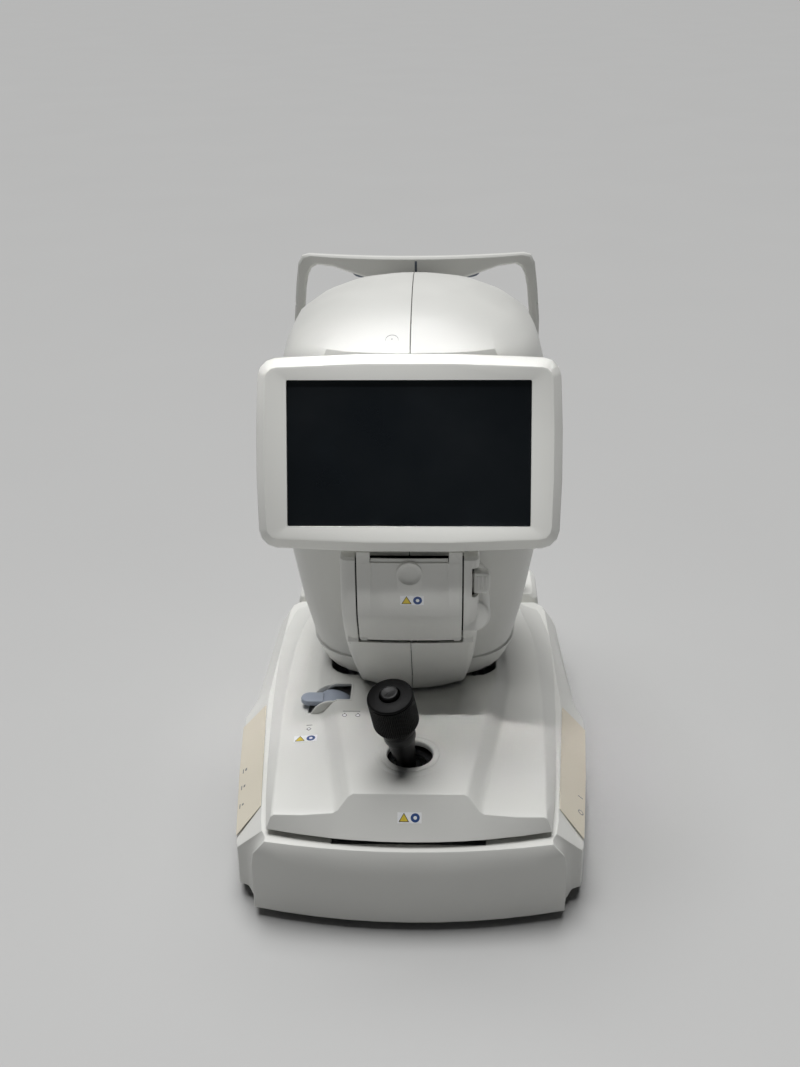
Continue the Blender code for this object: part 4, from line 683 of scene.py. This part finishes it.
def make_slot_rim():
    """The raised arch that guards the lock lever's slot on the stage."""
    top = Surface("stage_cover", (0, 0, 1), (0, 1, 0))

    def arch(x, d):
        ground = top.land(spot(x, d, 100), 0, 0, 0.0).z / MM
        reach = 20.4 ** 2 - (x - LOCK_X) ** 2
        return max(ground + 0.5, LOCK_Z + math.sqrt(reach) if reach > 0 else 0.0), ground

    corners = [(-94.6, 169.6), (-53.6, 169.6), (-53.6, 198.6), (-94.6, 198.6)]
    bm = bmesh.new()
    rings = []
    for k, ((x0, d0), (x1, d1)) in enumerate(zip(corners, corners[1:] + corners[:1])):
        steps = 28 if k % 2 == 0 else 12
        inward = ((0, 1), (-1, 0), (0, -1), (1, 0))[k]
        for i in range(steps):
            t = i / steps
            x, d = x0 + (x1 - x0) * t, d0 + (d1 - d0) * t
            if i == 0:
                before = ((0, 1), (-1, 0), (0, -1), (1, 0))[k - 1]
                inward_here = (inward[0] + before[0], inward[1] + before[1])
            else:
                inward_here = inward
            z, ground = arch(x, d)
            ring = []
            for across, up in RIM:
                level = max(ground - 1.5 if up < -5 else z + up, ground - 1.5)
                to_x, to_d = (across * step for step in inward_here)
                ring.append(spot(x + to_x, d + to_d, level))
            rings.append(ring)
    skin(bm, rings, closed=True)
    new_object("lever_slot_rim", settle("slot_rim", bm, 60), "shell_white", "stage")


def make_hole_ring():
    """The soft swelling round the joystick's hole."""
    bm = bmesh.new()
    profile = [(24.0, -1.0), (24.0, 0.25), (24.9, 0.75), (26.2, 0.95), (27.6, 0.75), (29.2, 0.25)]
    profile += [(30.4, -0.2), (30.4, -1.0)]
    centre = spot(0, 89.0, 106.0)
    rings = turned_rings([(r, h, 0) for r, h in profile], centre, Vector((0, 0, 1)), 96)
    skin(bm, rings, closed=True)
    new_object("hole_swelling", settle("hole_swelling", bm, 60), "shell_white", "stage")


def screw_head(name, place, out, slot, body, radius=3.2):
    """A shallow domed head with a raised cross."""
    bm = bmesh.new()
    profile = [(radius, -1.0, 0), (radius, 0.5, 0), (radius * 0.86, 1.0, 0)]
    profile += [(radius * 0.5, 1.25, 0), (0.01, 1.3, 0)]
    skin(bm, turned_rings(profile, place, Vector(out), 28))
    turn = Vector((0, 0, 1)).rotation_difference(Vector(out)).to_matrix()
    for long, wide in ((1.5, 0.4), (0.4, 1.5)):
        ring = [(-long, -wide), (long, -wide), (long, wide), (-long, wide)]
        skin(bm, [[place + turn @ (Vector((u, v, h)) * MM) for u, v in ring] for h in (1.1, 1.5)])
    new_object(name, settle(name, bm, 35), slot, body)


def make_rear_details():
    """Four screws and a blank rating plate on the housing that carries the face frame."""
    rear = Surface("rear_bridge", (0, 1, 0), (0, 0, 1))
    for k, (x, z) in enumerate(((-92.0, 56.0), (92.0, 56.0), (-92.0, 14.0), (92.0, 14.0))):
        place = rear.land(spot(x, 520.0, z), 0, 0, -0.4)
        screw_head(f"rear_screw_{k}", place, (0, 1, 0), "dark_steel", "base")
    middle = spot(34.0, 520.0, 34.0)
    rear.lay("rating_plate", middle, plate(54.0, 24.0), PRINTS["silver"], 0.08)
    for k, v in enumerate((6.0, 2.0, -2.0, -6.0)):
        line = plate(44.0 - 5.0 * (k % 2), 0.7, 0.0, v)
        rear.lay(f"rating_line_{k}", middle, line, PRINTS["grey_ink_and_painted_shadow"], 0.12)


CRISP = {"joystick_collar", "printer_door", "screen_bezel"}
REBUILT = {"height_ring", "joystick_grip", "measure_button", "forehead_pad", "lock_lever"}
for node in sorted(set(NODES) - REBUILT - CRISP):
    rounded(node)
make_joystick()
make_forehead_pad()
make_prints()
for node in sorted(CRISP):
    crisp(node)
make_lock_lever()
make_slot_rim()
make_hole_ring()
make_rear_details()


# ---------------------------------------------------------------- stage, lights and camera


FLOOR = (0.52, 0.52, 0.515)
REACH = 40.0


def make_floor():
    mesh = bpy.data.meshes.new("floor")
    corners = [(-REACH, -REACH, 0), (REACH, -REACH, 0), (REACH, REACH, 0), (-REACH, REACH, 0)]
    mesh.from_pydata(corners, [], [(0, 1, 2, 3)])
    floor = bpy.data.objects.new("floor", mesh)
    bpy.context.scene.collection.objects.link(floor)
    look = Look("floor", FLOOR, 0.55, specular=0.3)
    look.paint(look.mix(look.noise(3.0, 3.0), shade(FLOOR, 0.98), (0.53, 0.53, 0.525, 1.0)))
    mesh.materials.append(look.material)


def make_light(name, place, aim, size, power, spread):
    data = bpy.data.lights.new(name, "AREA")
    data.shape = "RECTANGLE"
    data.size, data.size_y = size
    data.energy = power
    data.spread = math.radians(spread)
    lamp = bpy.data.objects.new(name, data)
    bpy.context.scene.collection.objects.link(lamp)
    lamp.location = place
    lamp.rotation_euler = (Vector(aim) - Vector(place)).to_track_quat("-Z", "Y").to_euler()


def make_sky_panel(direction, angle, strength):
    """A broad soft source far overhead, which lights the object and all of the floor alike."""
    data = bpy.data.lights.new("sky_panel", "SUN")
    data.energy = strength
    data.angle = math.radians(angle)
    lamp = bpy.data.objects.new("sky_panel", data)
    bpy.context.scene.collection.objects.link(lamp)
    lamp.rotation_euler = (-Vector(direction)).to_track_quat("-Z", "Y").to_euler()


def make_world():
    world = bpy.data.worlds.new("room")
    bpy.context.scene.world = world
    world.use_nodes = True
    tree = world.node_tree
    shown = tree.nodes["Background"]
    shown.inputs["Color"].default_value = (0.40, 0.40, 0.39, 1.0)
    dim = tree.nodes.new("ShaderNodeBackground")
    dim.inputs["Color"].default_value = (0.03, 0.031, 0.032, 1.0)
    path = tree.nodes.new("ShaderNodeLightPath")
    join = tree.nodes.new("ShaderNodeMixShader")
    tree.links.new(path.outputs["Is Camera Ray"], join.inputs["Fac"])
    tree.links.new(dim.outputs[0], join.inputs[1])
    tree.links.new(shown.outputs[0], join.inputs[2])
    tree.links.new(join.outputs[0], tree.nodes["World Output"].inputs["Surface"])


def make_camera():
    data = bpy.data.cameras.new("camera")
    data.lens = 43.02
    data.sensor_width = 36.0
    camera = bpy.data.objects.new("camera", data)
    bpy.context.scene.collection.objects.link(camera)
    camera.location = (0.0266, -1.0423, 0.7223)
    heading, pitch, roll = (
        Matrix.Rotation(math.radians(angle), 3, axis)
        for angle, axis in ((2.133, "Z"), (64.599, "X"), (-0.765, "Z"))
    )
    camera.rotation_euler = (heading @ pitch @ roll).to_euler()
    bpy.context.scene.camera = camera


make_floor()
make_sky_panel((-0.45, 1.05, 4.4), 44.0, 3.1)
make_light("front_spot", (-0.06, -0.40, 1.30), (0.0, -0.130, 0.37), (0.26, 0.06), 0.085, 15.0)
make_world()
make_camera()
bpy.context.scene.view_settings.view_transform = "Standard"
